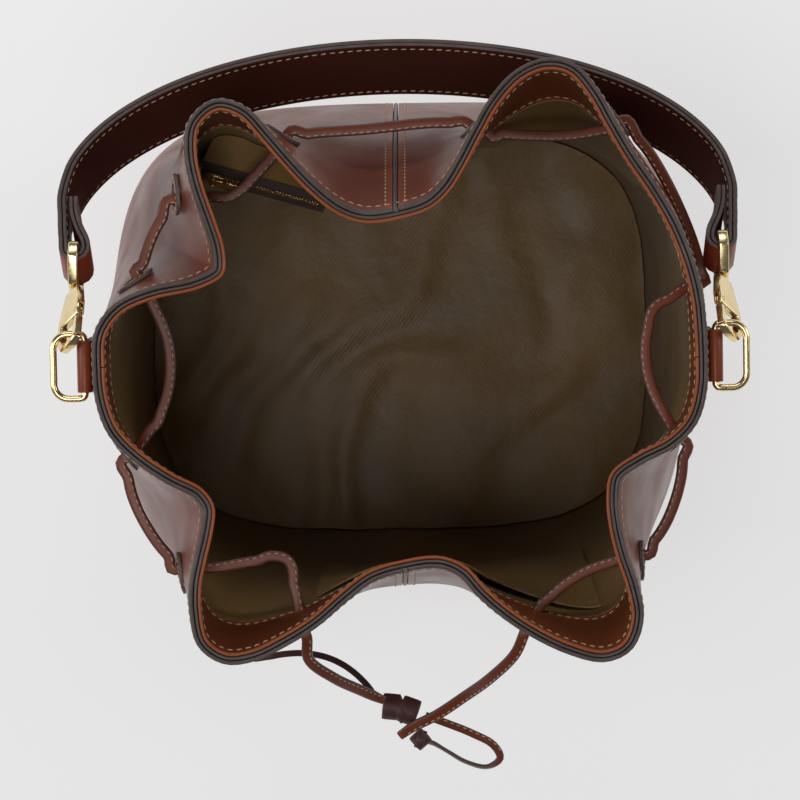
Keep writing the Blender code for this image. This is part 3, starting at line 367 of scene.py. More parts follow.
def superellipse_quarter(half, quarter):
    """A quarter of a rounded rectangle, counted from the front."""
    angles = math.radians(-90 + 90 * quarter) + np.linspace(0, math.pi / 2, 200)
    cosines, sines = np.cos(angles), np.sin(angles)
    power = 2 / OUTLINE_POWER
    return np.column_stack([half[0] * np.sign(cosines) * np.abs(cosines) ** power,
                            half[1] * np.sign(sines) * np.abs(sines) ** power])


def wall_columns():
    """Base, belly and rim outlines with matching columns."""
    rim, belly, base = [], [], []
    for quarter, curve in enumerate(quarter_curves()):
        shares = columns_by_bend(curve)
        lengths = lengths_along(curve)
        rim.append(read_at(curve, lengths, shares * lengths[-1]))
        for half, outline in ((BELLY_HALF, belly), (BASE_HALF, base)):
            side = superellipse_quarter(half, quarter)
            marks = lengths_along(side)
            outline.append(read_at(side, marks, shares * marks[-1]))
    return np.vstack(base), np.vstack(belly), np.vstack(rim)


BASE_LINE, BELLY_LINE, RIM_LINE = wall_columns()
COLUMNS = len(RIM_LINE)
HALF = COLUMNS // 2


def outward(outline):
    """The outward direction at each point of a closed outline."""
    along = unit(np.roll(outline, -1, axis=0) - np.roll(outline, 1, axis=0))
    return np.column_stack([along[:, 1], -along[:, 0]])


def wall_outline(row):
    """Outline and heights of the wall: row -1 is the bottom, 0 the belly and 1 the rim."""
    if row < 0:
        bulge = math.sin((1 + row) * math.pi / 2)
        outline = BASE_LINE + (BELLY_LINE - BASE_LINE) * bulge
        return outline, np.full(COLUMNS, BELLY_HEIGHT * (1 + row))
    outline = BELLY_LINE + (RIM_LINE - BELLY_LINE) * row ** MOUTH_BEND
    low, high = HOLLOW_ROWS
    if low < row < high:
        depth = STRAP_HOLLOW * math.sin(math.pi * (row - low) / (high - low)) ** 2
        outline[:, 1] -= depth * np.interp(RIM_LINE[:, 1], HOLLOW_PLACES, (0, 1))
    lean = np.linalg.norm(RIM_LINE - BELLY_LINE, axis=1)
    top = BELLY_HEIGHT + np.sqrt(SLANT ** 2 - lean ** 2)
    return outline, BELLY_HEIGHT + (top - BELLY_HEIGHT) * row


def wall_ring(row, offset):
    """One ring of wall points, set off outwards; the offset may differ from column to column."""
    outline, heights = wall_outline(row)
    offsets = np.broadcast_to(offset, COLUMNS)[:, None]
    return np.column_stack([outline + outward(outline) * offsets, heights])


def wall_point(place, height, offset=0.0):
    """The wall's point nearest to a place seen from above, and its outward normal."""
    outline, _ = wall_outline((height - BELLY_HEIGHT) / SLANT)
    sides = np.roll(outline, -1, axis=0) - outline
    shares = np.clip(((place - outline) * sides).sum(1) / (sides * sides).sum(1), 0, 1)
    feet = outline + sides * shares[:, None]
    nearest = np.argmin(np.linalg.norm(feet - place, axis=1))
    normals = outward(outline)
    share = shares[nearest]
    normal = normals[nearest] * (1 - share) + np.roll(normals, -1, axis=0)[nearest] * share
    normal /= np.linalg.norm(normal)
    return np.append(feet[nearest] + normal * offset, height), np.append(normal, 0.0)


def rows_between(first, last, step=0.03):
    """Evenly spaced rows from the first to the last."""
    return list(np.linspace(first, last, max(2, round((last - first) / step) + 1)))


def clouds(points, scale, seed):
    """Smooth noise from -1 to 1 at each point, with one scale for each axis."""
    return np.array([noise.noise(Vector(point * scale + seed)) for point in points])


def lining_shift(row):
    """How far the wrinkled lining stands off its even wall, column by column."""
    ring = wall_ring(row, 0)
    fade = np.clip((FACING_ROW - row) / 0.12, 0, 1)
    broad = clouds(ring, np.array([26, 26, 9]), 3.1)
    narrow = clouds(ring, np.array([75, 75, 34]), 11.7)
    depth = sizes().wrinkle_depth
    return (-0.35 - 0.9 * np.abs(broad) - 0.35 * np.abs(narrow)) * depth * fade


def swell_of(row):
    """Soft unevenness of the outer leather, outwards only, none near the rim."""
    ring = wall_ring(row, 0)
    fade = np.clip((0.80 - row) / 0.25, 0, 1) * np.clip((row + 1) / 0.3, 0, 1)
    return sizes().swell * fade * (0.5 + 0.5 * clouds(ring, np.array([14, 14, 8]), 5.3))


# ------------------------------------------------------------------ pieces
def skin(name, grid, around=False, along=False, ends=False, bands=None):
    """A skin woven from rows of places. Around joins the last row to the first, along the
    last column to the first, ends closes both open ends, bands gives each row's finish."""
    grid = np.asarray(grid, float)
    rows, columns = grid.shape[:2]
    steps = (columns - 1 + along, rows - 1 + around)
    mid = np.vstack([grid[rows // 2], grid[rows // 2][:1]])
    side = np.vstack([grid[:, columns // 2], grid[:1, columns // 2]])
    marks = (lengths_along(mid), lengths_along(side))
    shape = bmesh.new()
    layer = shape.loops.layers.uv.new("UVMap")
    bmesh.ops.create_grid(shape, x_segments=steps[0], y_segments=steps[1], size=0.5)
    for face in shape.faces:
        row = int((face.calc_center_median().y + 0.5) * steps[1])
        face.material_index = bands[row % rows] if bands else 0
        for loop in face.loops:
            column, line = (round((loop.vert.co[axis] + 0.5) * steps[axis]) for axis in (0, 1))
            loop[layer].uv = marks[0][column], marks[1][line]
    for vertex in shape.verts:
        column, row = (round((vertex.co[axis] + 0.5) * steps[axis]) for axis in (0, 1))
        vertex.co = grid[row % rows][column % columns]
    bmesh.ops.remove_doubles(shape, verts=shape.verts, dist=1e-6)
    if ends:
        open_edges = [edge for edge in shape.edges if edge.is_boundary]
        bmesh.ops.holes_fill(shape, edges=open_edges, sides=0)
    bmesh.ops.recalc_face_normals(shape, faces=shape.faces)
    return from_bmesh(name, shape)


def from_bmesh(name, shape, sharp=38):
    """A smooth-shaded object from a bmesh, with its hard edges kept sharp."""
    data = bpy.data.meshes.new(name)
    shape.to_mesh(data)
    shape.free()
    made = bpy.data.objects.new(name, data)
    bpy.context.scene.collection.objects.link(made)
    data.shade_smooth()
    data.set_sharp_from_angle(angle=math.radians(sharp))
    return made


def dress(piece, body, slot, finishes, *nodes):
    """Give a piece its finishes, its body and the solids that it stands for; the slot is not used.
    """
    for finish in finishes:
        piece.data.materials.append(finish)
    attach(piece, body)
    if nodes:
        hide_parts(*nodes)
    return piece


def bake_modifiers(piece):
    """Replace the piece's mesh with what its modifiers make of it."""
    view = bpy.context.evaluated_depsgraph_get()
    made = bpy.data.meshes.new_from_object(piece.evaluated_get(view))
    piece.modifiers.clear()
    old, piece.data = piece.data, made
    bpy.data.meshes.remove(old)
    made.shade_smooth()
    made.set_sharp_from_angle(angle=math.radians(38))


def edge_profile(low, high, rows, round_steps=6):
    """A wall layer's section: up its outer face, over a rounded top, down its inner face."""
    radius = (high - low) / 2
    middle = (high + low) / 2
    top = rows[-1] - radius / SLANT
    upright = [row for row in rows if row < top - 0.004]
    loop = [(row, high) for row in upright]
    for angle in np.linspace(0, math.pi, round_steps):
        loop.append((top + radius * math.sin(angle) / SLANT, middle + radius * math.cos(angle)))
    loop += [(row, low) for row in upright[::-1]]
    return loop


def layer_grid(loop, columns, shift=None, floor=None, ends_room=None):
    """Places of a wall layer's section at the given columns."""
    lines = []
    for row, offset in loop:
        extra = shift(row) if shift else 0.0
        ring = wall_ring(row, offset + extra)[columns]
        if floor is not None:
            ring[:, 2] = np.maximum(ring[:, 2], floor)
        lines.append(ring)
    grid = np.array(lines)
    if ends_room:
        for end, beside in ((0, 1), (-1, -2)):
            step = grid[:, beside] - grid[:, end]
            grid[:, end] += unit(step) * ends_room
    return grid


def stitches(name, line, normals, body, pitch=None, closed=False, length=0.66, width=None,
             lift=0.0, finish=None):
    """A row of sewn stitches along a line that lies on a surface with the given normals."""
    pitch = pitch or sizes().stitch_pitch
    width = width or sizes().stitch_width
    line, normals = np.asarray(line, float), np.asarray(normals, float)
    if closed:
        line, normals = np.vstack([line, line[:1]]), np.vstack([normals, normals[:1]])
    marks = lengths_along(line)
    count = max(1, round(marks[-1] / pitch))
    at = (np.arange(count) + 0.5) / count * marks[-1]
    reach = 0.3 * pitch
    centres = read_at(line, marks, at)
    ways = unit(read_at(line, marks, at + reach) - read_at(line, marks, at - reach))
    faces = unit(read_at(normals, marks, at))
    shape = bmesh.new()
    lie_down = Matrix.Rotation(math.pi / 2, 4, "Y")
    slant = Matrix.Rotation(math.radians(5), 4, "Z")
    size = Matrix.Diagonal((length * pitch / 2, width / 2, width * 0.42, 1))
    for centre, way, face in zip(centres, ways, faces):
        x, z = Vector(way), Vector(face)
        y = z.cross(x).normalized()
        z = x.cross(y)
        turn = Matrix((x, y, z)).transposed().to_4x4()
        place = Matrix.Translation(Vector(centre) + z * lift)
        bmesh.ops.create_uvsphere(shape, u_segments=6, v_segments=5, radius=1,
                                  matrix=place @ turn @ slant @ size @ lie_down)
    piece = from_bmesh(name, shape, 80)
    return dress(piece, body, None, [finish or thread_finish()])


# ------------------------------------------------------------------ finishes
class Nodes:
    """A few short words for building a material's nodes."""

    def __init__(self, name):
        self.material = bpy.data.materials.new(name)
        self.material.use_nodes = True
        self.tree = self.material.node_tree
        self.shader = self.tree.nodes["Principled BSDF"]
        self.place = self.add("ShaderNodeTexCoord").outputs["Object"]

    def add(self, kind, **settings):
        made = self.tree.nodes.new(kind)
        for key, value in settings.items():
            setattr(made, key, value)
        return made

    def link(self, source, target):
        self.tree.links.new(source, target)
        return target.node

    def stretch(self, scale, turn=(0, 0, 0)):
        mapping = self.add("ShaderNodeMapping")
        mapping.inputs["Scale"].default_value = scale
        mapping.inputs["Rotation"].default_value = turn
        self.link(self.place, mapping.inputs["Vector"])
        return mapping.outputs["Vector"]

    def noise(self, scale, detail=3.0, vector=None, roughness=0.5):
        made = self.add("ShaderNodeTexNoise")
        made.inputs["Scale"].default_value = scale
        made.inputs["Detail"].default_value = detail
        made.inputs["Roughness"].default_value = roughness
        self.link(vector or self.place, made.inputs["Vector"])
        return made.outputs["Fac"]

    def cells(self, scale, vector=None):
        made = self.add("ShaderNodeTexVoronoi")
        made.inputs["Scale"].default_value = scale
        self.link(vector or self.place, made.inputs["Vector"])
        return made.outputs["Distance"]

    def waves(self, scale, vector, distortion=0.0, direction="X"):
        made = self.add("ShaderNodeTexWave", bands_direction=direction)
        made.inputs["Scale"].default_value = scale
        made.inputs["Distortion"].default_value = distortion
        self.link(vector, made.inputs["Vector"])
        return made.outputs["Fac"]

    def span(self, source, low, high, start=0.0, end=1.0):
        made = self.add("ShaderNodeMapRange")
        for key, value in (("From Min", start), ("From Max", end), ("To Min", low),
                           ("To Max", high)):
            made.inputs[key].default_value = value
        self.link(source, made.inputs["Value"])
        return made.outputs["Result"]

    def tones(self, share, first, second):
        made = self.add("ShaderNodeMix", data_type="RGBA")
        self.link(share, made.inputs[0])
        for socket, value in ((made.inputs[6], first), (made.inputs[7], second)):
            if hasattr(value, "node"):
                self.link(value, socket)
            else:
                socket.default_value = (*value, 1)
        return made.outputs[2]

    def bump(self, height, distance, strength=1.0, below=None):
        made = self.add("ShaderNodeBump")
        made.inputs["Distance"].default_value = distance
        made.inputs["Strength"].default_value = strength
        self.link(height, made.inputs["Height"])
        if below:
            self.link(below, made.inputs["Normal"])
        return made.outputs["Normal"]

    def wear(self):
        """Convex edges, from 0 on flat places to 1."""
        return self.span(self.add("ShaderNodeNewGeometry").outputs["Pointiness"], 0, 1, 0.50, 0.56)

    def finish(self, colour, roughness, normal=None, **constants):
        self.link(colour, self.shader.inputs["Base Color"])
        self.link(roughness, self.shader.inputs["Roughness"])
        if normal:
            self.link(normal, self.shader.inputs["Normal"])
        for key, value in constants.items():
            socket = key.replace("_", " ").title().replace("Ior", "IOR")
            self.shader.inputs[socket].default_value = value
        return self.material


def scaled(colour, share):
    """A colour made lighter or darker."""
    return tuple(min(1.0, value * share) for value in colour)


def leather_finish(name, colour, dull=(0.30, 0.46), grain=0.00009, coat=0.06, wear=1.5):
    """Smooth leather: soft tones, fine pores, faint creases and worn edges."""
    found = bpy.data.materials.get(name)
    if found:
        return found
    nodes = Nodes(name)
    broad = nodes.span(nodes.noise(11, 4), 0, 1, 0.32, 0.70)
    tone = nodes.tones(broad, scaled(colour, 0.74), scaled(colour, 1.18))
    flecks = nodes.span(nodes.noise(420, 2), 0, 0.35, 0.55, 0.80)
    tone = nodes.tones(flecks, tone, scaled(colour, 0.62))
    tone = nodes.tones(nodes.wear(), tone, scaled(colour, wear))
    creases = nodes.noise(70, 6, roughness=0.62)
    pores = nodes.cells(1250)
    relief = nodes.bump(creases, 0.0006, 0.30)
    relief = nodes.bump(pores, grain, 0.45, relief)
    dullness = nodes.span(nodes.noise(38, 4), dull[0], dull[1], 0.3, 0.7)
    return nodes.finish(tone, dullness, relief, coat_weight=coat, coat_roughness=0.28,
                        specular_ior_level=0.3)


def paint_finish():
    """Hand-painted cut edge: dark, a little uneven and rubbed on its corners."""
    found = bpy.data.materials.get("edge_paint_finish")
    if found:
        return found
    colour = tuple(colours().edge)
    nodes = Nodes("edge_paint_finish")
    tone = nodes.tones(nodes.span(nodes.noise(160, 4), 0, 1, 0.35, 0.7),
                       scaled(colour, 0.75), scaled(colour, 1.5))
    tone = nodes.tones(nodes.span(nodes.wear(), 0, 0.5), tone, scaled(colour, 2.6))
    relief = nodes.bump(nodes.noise(700, 4), 0.00012, 0.5)
    dullness = nodes.span(nodes.noise(240, 2), 0.38, 0.62)
    return nodes.finish(tone, dullness, relief, coat_weight=0.1, coat_roughness=0.4)


def cloth_finish(name, colour, dull=(0.34, 0.52), thread=1500, folds=0.0009):
    """Satin lining: a fine twill, soft creases and a warm sheen."""
    found = bpy.data.materials.get(name)
    if found:
        return found
    nodes = Nodes(name)
    broad = nodes.span(nodes.noise(16, 5, nodes.stretch((1, 1, 0.45))), 0, 1, 0.3, 0.72)
    tone = nodes.tones(broad, scaled(colour, 0.70), scaled(colour, 1.25))
    twill = nodes.waves(thread / 6.2, nodes.stretch((1, 1, 1), (0.5, 0.6, 0.8)), 0.6)
    tone = nodes.tones(nodes.span(twill, 0, 0.35), tone, scaled(colour, 0.6))
    creases = nodes.noise(48, 5, nodes.stretch((1, 1, 0.35), (0.2, 0.1, 0)), 0.6)
    crumples = nodes.waves(7, nodes.stretch((1, 1, 0.4), (0.15, 0.1, 0.4)), 16)
    relief = nodes.bump(crumples, folds * 2.2, 0.5)
    relief = nodes.bump(creases, folds * 1.6, 0.6, relief)
    relief = nodes.bump(twill, 0.00006, 0.5, relief)
    dullness = nodes.span(nodes.noise(30, 3), dull[0], dull[1])
    return nodes.finish(tone, dullness, relief, sheen_weight=0.08, sheen_roughness=0.4,
                        specular_ior_level=0.35)


def brass_finish():
    """Pale gold plating with faint polishing lines and rubbed edges."""
    found = bpy.data.materials.get("brass_finish")
    if found:
        return found
    colour = tuple(colours().brass)
    nodes = Nodes("brass_finish")
    tone = nodes.tones(nodes.span(nodes.noise(90, 4), 0, 1, 0.3, 0.7),
                       scaled(colour, 0.88), scaled(colour, 1.06))
    tone = nodes.tones(nodes.span(nodes.wear(), 0, 0.6), tone, scaled(colour, 1.2))
    lines = nodes.noise(900, 4, nodes.stretch((1, 0.08, 1), (0.3, 0.2, 0.5)))
    relief = nodes.bump(lines, 0.00003, 0.35)
    dullness = nodes.span(nodes.noise(220, 5), 0.13, 0.30, 0.3, 0.75)
    return nodes.finish(tone, dullness, relief, metallic=1.0)


def thread_finish():
    """Twisted sewing thread."""
    found = bpy.data.materials.get("thread_finish")
    if found:
        return found
    colour = tuple(colours().thread)
    nodes = Nodes("thread_finish")
    tone = nodes.tones(nodes.noise(500, 2), scaled(colour, 0.72), scaled(colour, 1.2))
    twist = nodes.waves(900, nodes.stretch((1, 1, 1), (0.4, 0.7, 0.8)), 0.5)
    relief = nodes.bump(twist, 0.00012, 0.6)
    return nodes.finish(tone, nodes.span(twist, 0.55, 0.8), relief, sheen_weight=0.3,
                        sheen_roughness=0.5)


def board_finish():
    """Rough grey-brown board."""
    found = bpy.data.materials.get("board_finish")
    if found:
        return found
    colour = tuple(colours().board)
    nodes = Nodes("board_finish")
    tone = nodes.tones(nodes.noise(180, 5), scaled(colour, 0.7), scaled(colour, 1.2))
    relief = nodes.bump(nodes.noise(900, 4), 0.0002, 0.5)
    return nodes.finish(tone, nodes.span(nodes.noise(60, 2), 0.8, 0.95), relief)


def outer_finish():
    return leather_finish("outer_leather_finish", tuple(colours().outer))


def facing_finish():
    return leather_finish("facing_leather_finish", tuple(colours().facing), (0.34, 0.5), wear=1.8)


def cord_finish():
    return leather_finish("cord_leather_finish", tuple(colours().cord), (0.30, 0.44), wear=1.6)


# Partly the handle lining's own dark leather, partly painted shade: its darker colour stands in
# for the shade under the strap.
def handle_dark_leather_and_shade_finish():
    return leather_finish("handle_lining_painted_shade_finish", tuple(colours().handle), (0.4, 0.55), coat=0.04)


def lace_finish():
    return leather_finish("lace_leather_finish", tuple(colours().lace), (0.4, 0.6), wear=2.2)


def lining_finish():
    return cloth_finish("lining_cloth_finish", tuple(colours().lining))


# ------------------------------------------------------------------ swept pieces
def rounded_section(width, thickness, count=16):
    """A flat strap's section, with its corners rounded, as across and up."""
    angles = (np.arange(count) + 0.5) * 2 * math.pi / count
    cosines, sines = np.cos(angles), np.sin(angles)
    return np.column_stack([width / 2 * np.sign(cosines) * np.abs(cosines) ** 0.42,
                            thickness / 2 * np.sign(sines) * np.abs(sines) ** 0.6])


def frames_along(curve, closed=False, twist=None):
    """Directions across and up along a path that lies face up, turned by a twist in radians."""
    ways = tangents_of(curve, closed)
    across = unit(np.cross(ways, (0, 0, 1.0)))
    up = np.cross(across, ways)
    if twist is not None:
        turned = np.interp(np.linspace(0, 1, len(curve)), *twist)[:, None]
        across, up = (across * np.cos(turned) + up * np.sin(turned),
                      up * np.cos(turned) - across * np.sin(turned))
    return across, up


def flat_cord(name, curve, width, thickness, twist=None, taper=None, closed=False):
    """A flat leather cord along a path, its cut edges painted."""
    across, up = frames_along(curve, closed, twist)
    section = rounded_section(width, thickness)
    share = np.ones(len(curve)) if taper is None else np.interp(
        np.linspace(0, 1, len(curve)), *taper)
    grid = [curve + across * (x * share)[:, None] + up * y for x, y in section]
    return skin(name, grid, around=True, along=closed, ends=not closed,
                bands=edge_bands(section, width, 0.40))


def relaxed(curve, reach=3.0 * MM, rounds=110):
    """The path with its kinks drawn out, no point further than a reach from where it was."""
    eased = curve.copy()
    for _ in range(rounds):
        eased[1:-1] += 0.5 * ((eased[:-2] + eased[2:]) / 2 - eased[1:-1])
    move = eased - curve
    size = np.linalg.norm(move, axis=1, keepdims=True)
    return curve + move * np.minimum(1, reach / np.maximum(size, 1e-9))


def cord_stitches(name, curve, width, thickness, side=1, pitch=3.4 * MM):
    """Stitches along one side of a flat cord's upper face."""
    across, up = frames_along(curve)
    line = curve + across * side * width * 0.27 + up * thickness * 0.5
    return stitches(name, line, up, "bag", pitch, length=0.62, width=0.6 * MM, lift=0.05 * MM)


def edge_bands(section, width, share):
    """Finish numbers round a flat section: 1 on its painted edges, past a share of its width."""
    across = np.array([x for x, _ in section])
    middles = (across + np.roll(across, -1)) / 2
    return [int(abs(x) > share * width) for x in middles]


def band_loop(name, centre, axis, radii, width, thickness, tilt):
    """A short strap wrapped once round a knot, as a closed band."""
    angles = np.linspace(0, 2 * math.pi, 29)[:-1]
    lie = Vector(axis).to_track_quat("X", "Z").to_matrix().to_4x4()
    turn = Matrix.Rotation(tilt, 4, "Z") @ lie
    section = rounded_section(width, thickness, 12)
    grid = []
    for along, out in section:
        grid.append([Vector(centre) + turn @ Vector(
            (along, (radii[0] + out) * math.cos(angle), (radii[1] + out) * math.sin(angle)))
            for angle in angles])
    return skin(name, np.array(grid), around=True, along=True,
                bands=edge_bands(section, width, 0.42))


def drawcord_route():
    """The drawcord's route from its first slot to its last."""
    route = []
    for number, place in enumerate(SLOTS, start=1):
        spot, normal = wall_point(np.array(place) * MM, CORD_HEIGHT, 2 * MM)
        reach = CORD_END if number in (1, len(SLOTS)) else CORD_OUT
        inner, outer = spot - normal * CORD_IN * MM, spot + normal * reach * MM
        route += [outer, spot, inner] if number % 2 else [inner, spot, outer]
        runs = INSIDE_RUNS if number % 2 else OUTSIDE_RUNS
        for x, y, *height in runs.get(number, []):
            route.append(np.array((x * MM, y * MM, height[0] * MM if height else CORD_HEIGHT)))
    return route


def tail_route(slot_number, points):
    """A loose end's route from its slot."""
    spot, normal = wall_point(np.array(SLOTS[slot_number - 1]) * MM, CORD_HEIGHT, 2 * MM)
    start = spot + normal * (CORD_END * MM + 3 * GAP)
    return [start, start + normal * 4 * MM] + [np.array(point) * MM for point in points]


def make_wraps(name, centre, axis, wraps, leather, finishes, node):
    """Short straps wound round a knot, which stand for its solid."""
    made = []
    for number, (shift, tilt, radii, wide) in enumerate(wraps, start=1):
        place = np.array(centre) * MM + np.array((shift, -shift * 0.25, 0)) * MM
        wrap = band_loop(f"{name}_{number}", place, axis, [value * MM for value in radii],
                         wide * MM, leather, tilt)
        made.append(dress(wrap, "bag", "lace_leather", finishes))
    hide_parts(node)
    return made


def make_cords():
    """The drawcord's two loose ends with their knot, loop, knob and lace."""
    width, thickness = sizes().cord_width, sizes().cord_thickness
    finishes = [cord_finish(), paint_finish()]
    dark = [lace_finish(), paint_finish()]
    left = evenly(spline(tail_route(1, TAIL_LEFT)), 2 * MM)
    right = evenly(spline(tail_route(len(SLOTS), TAIL_RIGHT)), 2 * MM)
    loop = evenly(spline(np.array(LOOP_ROUTE + [LOOP_END]) * MM), 1.5 * MM)
    lace = evenly(spline(np.array(LACE_ROUTE) * MM), 1.5 * MM)
    wraps = make_wraps("knot_wrap", KNOT_CENTRE, KNOT_AXIS, KNOT_WRAPS, KNOT_LEATHER, dark,
                       "cord_knot")
    knobs = make_wraps("knob_wrap", END_KNOB, KNOB_AXIS, KNOB_WRAPS, KNOB_LEATHER, dark,
                       "cord_end_knob")

    tail = flat_cord("cord_tail_left_leather", left, width, thickness,
                     taper=((0, 0.9, 1), (1, 1, 0.8)))
    dress(tail, "bag", "cord_leather", finishes, "cord_tail_left")
    tail = flat_cord("cord_tail_right_leather", right, width, thickness,
                     taper=((0, 0.9, 1), (1, 1, 0.85)))
    dress(tail, "bag", "cord_leather", finishes, "cord_tail_right")
    piece = flat_cord("cord_loop_leather", loop, *LOOP_SIZE, twist=LOOP_TWIST)
    dress(piece, "bag", "cord_leather", finishes, "cord_loop")
    piece = flat_cord("lace_end_leather", lace, sizes().lace_width, LACE_THICKNESS,
                      taper=((0, 0.88, 1), (1, 1, 0.25)))
    dress(piece, "bag", "lace_leather", dark, "lace_end")
    cord_stitches("tail_left_stitches", left[2:-2], width, thickness, -1)
    cord_stitches("tail_right_stitches", right[2:-2], width, thickness, -1)
    cord_stitches("loop_stitches", loop[1:len(loop) // 2], *LOOP_SIZE, -1)


def make_drawcord():
    """The flat cord woven through the twelve slots."""
    width, thickness = sizes().cord_width, sizes().cord_thickness
    curve = evenly(relaxed(evenly(spline(drawcord_route()), 2 * MM)), 2 * MM)
    cord = flat_cord("drawcord_leather", curve, width, thickness)
    dress(cord, "bag", "cord_leather", [cord_finish(), paint_finish()], "drawcord")
    cord_stitches("drawcord_stitches", curve, width, thickness, 1)


# ------------------------------------------------------------------ leather body
def slot_frame(place, height=CORD_HEIGHT):
    """A frame on the wall at a slot, with Z pointing out."""
    point, normal = wall_point(np.array(place) * MM, height, 0)
    out, up = Vector(normal), Vector((0, 0, 1))
    turn = Matrix((up.cross(out), up, out)).transposed().to_4x4()
    return Matrix.Translation(Vector(point)) @ turn


def oval_ring(shape, size, height, count=28):
    """A loop of a rounded slot's outline in a bmesh, wider than it is high."""
    made = bmesh.ops.create_circle(shape, cap_ends=False, segments=count, radius=size[1] / 2)
    half = size[0] / 2 - size[1] / 2
    for vertex in made["verts"]:
        vertex.co.x += math.copysign(half, vertex.co.x) if abs(vertex.co.x) > 1e-7 else 0
        vertex.co.z = height
    return made["verts"]


def slot_cutter():
    """All twelve slot shapes as one cutting piece."""
    shape = bmesh.new()
    for place in SLOTS:
        verts = oval_ring(shape, SLOT_SIZE, -CUTTER_REACH)
        face = bmesh.ops.contextual_create(shape, geom=verts)["faces"]
        risen = bmesh.ops.extrude_face_region(shape, geom=face)["geom"]
        top = [item for item in risen if isinstance(item, bmesh.types.BMVert)]
        bmesh.ops.translate(shape, verts=top, vec=(0, 0, 2 * CUTTER_REACH))
        bmesh.ops.transform(shape, matrix=slot_frame(place), verts=verts + top)
    bmesh.ops.recalc_face_normals(shape, faces=shape.faces)
    cutter = from_bmesh("slot_cutter", shape)
    cutter.data.materials.append(paint_finish())
    return cutter


def cut_slots(pieces):
    """Cut the twelve slots through each piece."""
    cutter = slot_cutter()
    for piece in pieces:
        tool = piece.modifiers.new("slots", "BOOLEAN")
        tool.operation = "DIFFERENCE"
        tool.solver = "EXACT"
        tool.object = cutter
        bake_modifiers(piece)
    bpy.data.objects.remove(cutter, do_unlink=True)


def paint_bands(loop, painted_from):
    """Finish numbers of a section's rows: 1 where it is painted, near its top edge."""
    rows = [row for row, _ in loop]
    return [1 if min(rows[index], rows[(index + 1) % len(rows)]) > painted_from else 0
            for index in range(len(rows))]


def make_outer_leather():
    """Both halves of the outer leather, with painted top edges and cut slots."""
    rows = rows_between(-1, 0, 0.06)[:-1] + rows_between(0, 1, 0.025)
    loop = edge_profile(*OUTER, rows, 8)
    halves = (("outer_right", range(0, HALF + 1)), ("outer_left", range(HALF, COLUMNS + 1)))
    made = []
    for node, columns in halves:
        columns = [column % COLUMNS for column in columns]
        grid = layer_grid(loop, columns, swell_of, BASE_LEATHER + GAP, 1.3 * MM)
        piece = skin(node + "_leather", grid, around=True, ends=True,
                     bands=paint_bands(loop, 1 - 1.25 * MM / SLANT))
        dress(piece, "bag", "outer_leather", [outer_finish(), paint_finish()], node)
        made.append(piece)
    cut_slots(made)


def make_trim():
    """Front and back welts and the stiffening band's painted edge."""
    loop = edge_profile(*STIFFENER, rows_between(STIFFENER_ROW, 1, 0.03), 6)
    grid = layer_grid(loop, list(range(COLUMNS)))
    piece = skin("rim_stiffener_edge", grid, around=True, along=True)
    dress(piece, "bag", "edge_paint", [paint_finish()], "rim_stiffener")
    for node, column in (("front_welt", 0), ("back_welt", HALF)):
        rows = rows_between(-1, 1, 0.03)
        lines = []
        for angle in np.linspace(0, math.pi, 7):
            across, out = math.cos(angle) * 1.0 * MM, (4.6 + math.sin(angle) * 0.95) * MM
            lines.append([wall_ring(row, out)[column] + (across, 0, 0) for row in rows])
        for across in (-1.0 * MM, 1.0 * MM):
            lines.append([wall_ring(row, 3.0 * MM)[column] + (across, 0, 0) for row in rows])
        grid = np.array(lines)
        grid[:, :, 2] = np.maximum(grid[:, :, 2], BASE_LEATHER + GAP)
        piece = skin(node + "_strip", grid, around=True, ends=True)
        dress(piece, "bag", "edge_paint", [paint_finish()], node)


def wall_stitches(name, row, offset, face, **settings):
    """A row of stitches right round the wall; face is 1 outside and -1 inside."""
    line = wall_ring(row, offset)
    outline, _ = wall_outline(row)
    normals = np.column_stack([outward(outline) * face, np.zeros(COLUMNS)])
    return stitches(name, line, normals, "bag", closed=True, **settings)


def make_body_stitches():
    """Stitching round the rim, down both seams and round the base."""
    rim_row = 1 - sizes().seam_inset / SLANT
    wall_stitches("rim_stitches_inside", rim_row, FACING[0], -1, lift=STITCH_LIFT)
    wall_stitches("rim_stitches_outside", rim_row, OUTER[1], 1, lift=STITCH_LIFT)
    wall_stitches("facing_hem_stitches", FACING_ROW + FACING_HEM / SLANT, FACING[0], -1,
                  lift=STITCH_LIFT)
    base_row = -1 + BASE_SEAM_HEIGHT / BELLY_HEIGHT
    wall_stitches("base_stitches", base_row, OUTER[1] + swell_of(base_row), 1, lift=STITCH_LIFT)
    rows = rows_between(-0.96, 0.985, 0.03)
    for name, column in (("front", 0), ("back", HALF)):
        for side in (-1, 1):
            line, normals = [], []
            for row in rows:
                ring = wall_ring(row, OUTER[1] + swell_of(row))
                outline = wall_outline(row)[0]
                marks = lengths_along(np.roll(ring, -column + 10, axis=0)[:21])
                place = marks[10] + side * SEAM_OFFSET
                line.append(read_at(np.roll(ring, -column + 10, axis=0)[:21], marks, [place])[0])
                normals.append(np.append(outward(outline)[column], 0))
            label = "left" if (side < 0) == (column == 0) else "right"
            stitches(f"{name}_seam_stitches_{label}", line, normals, "bag", lift=0.12 * MM)


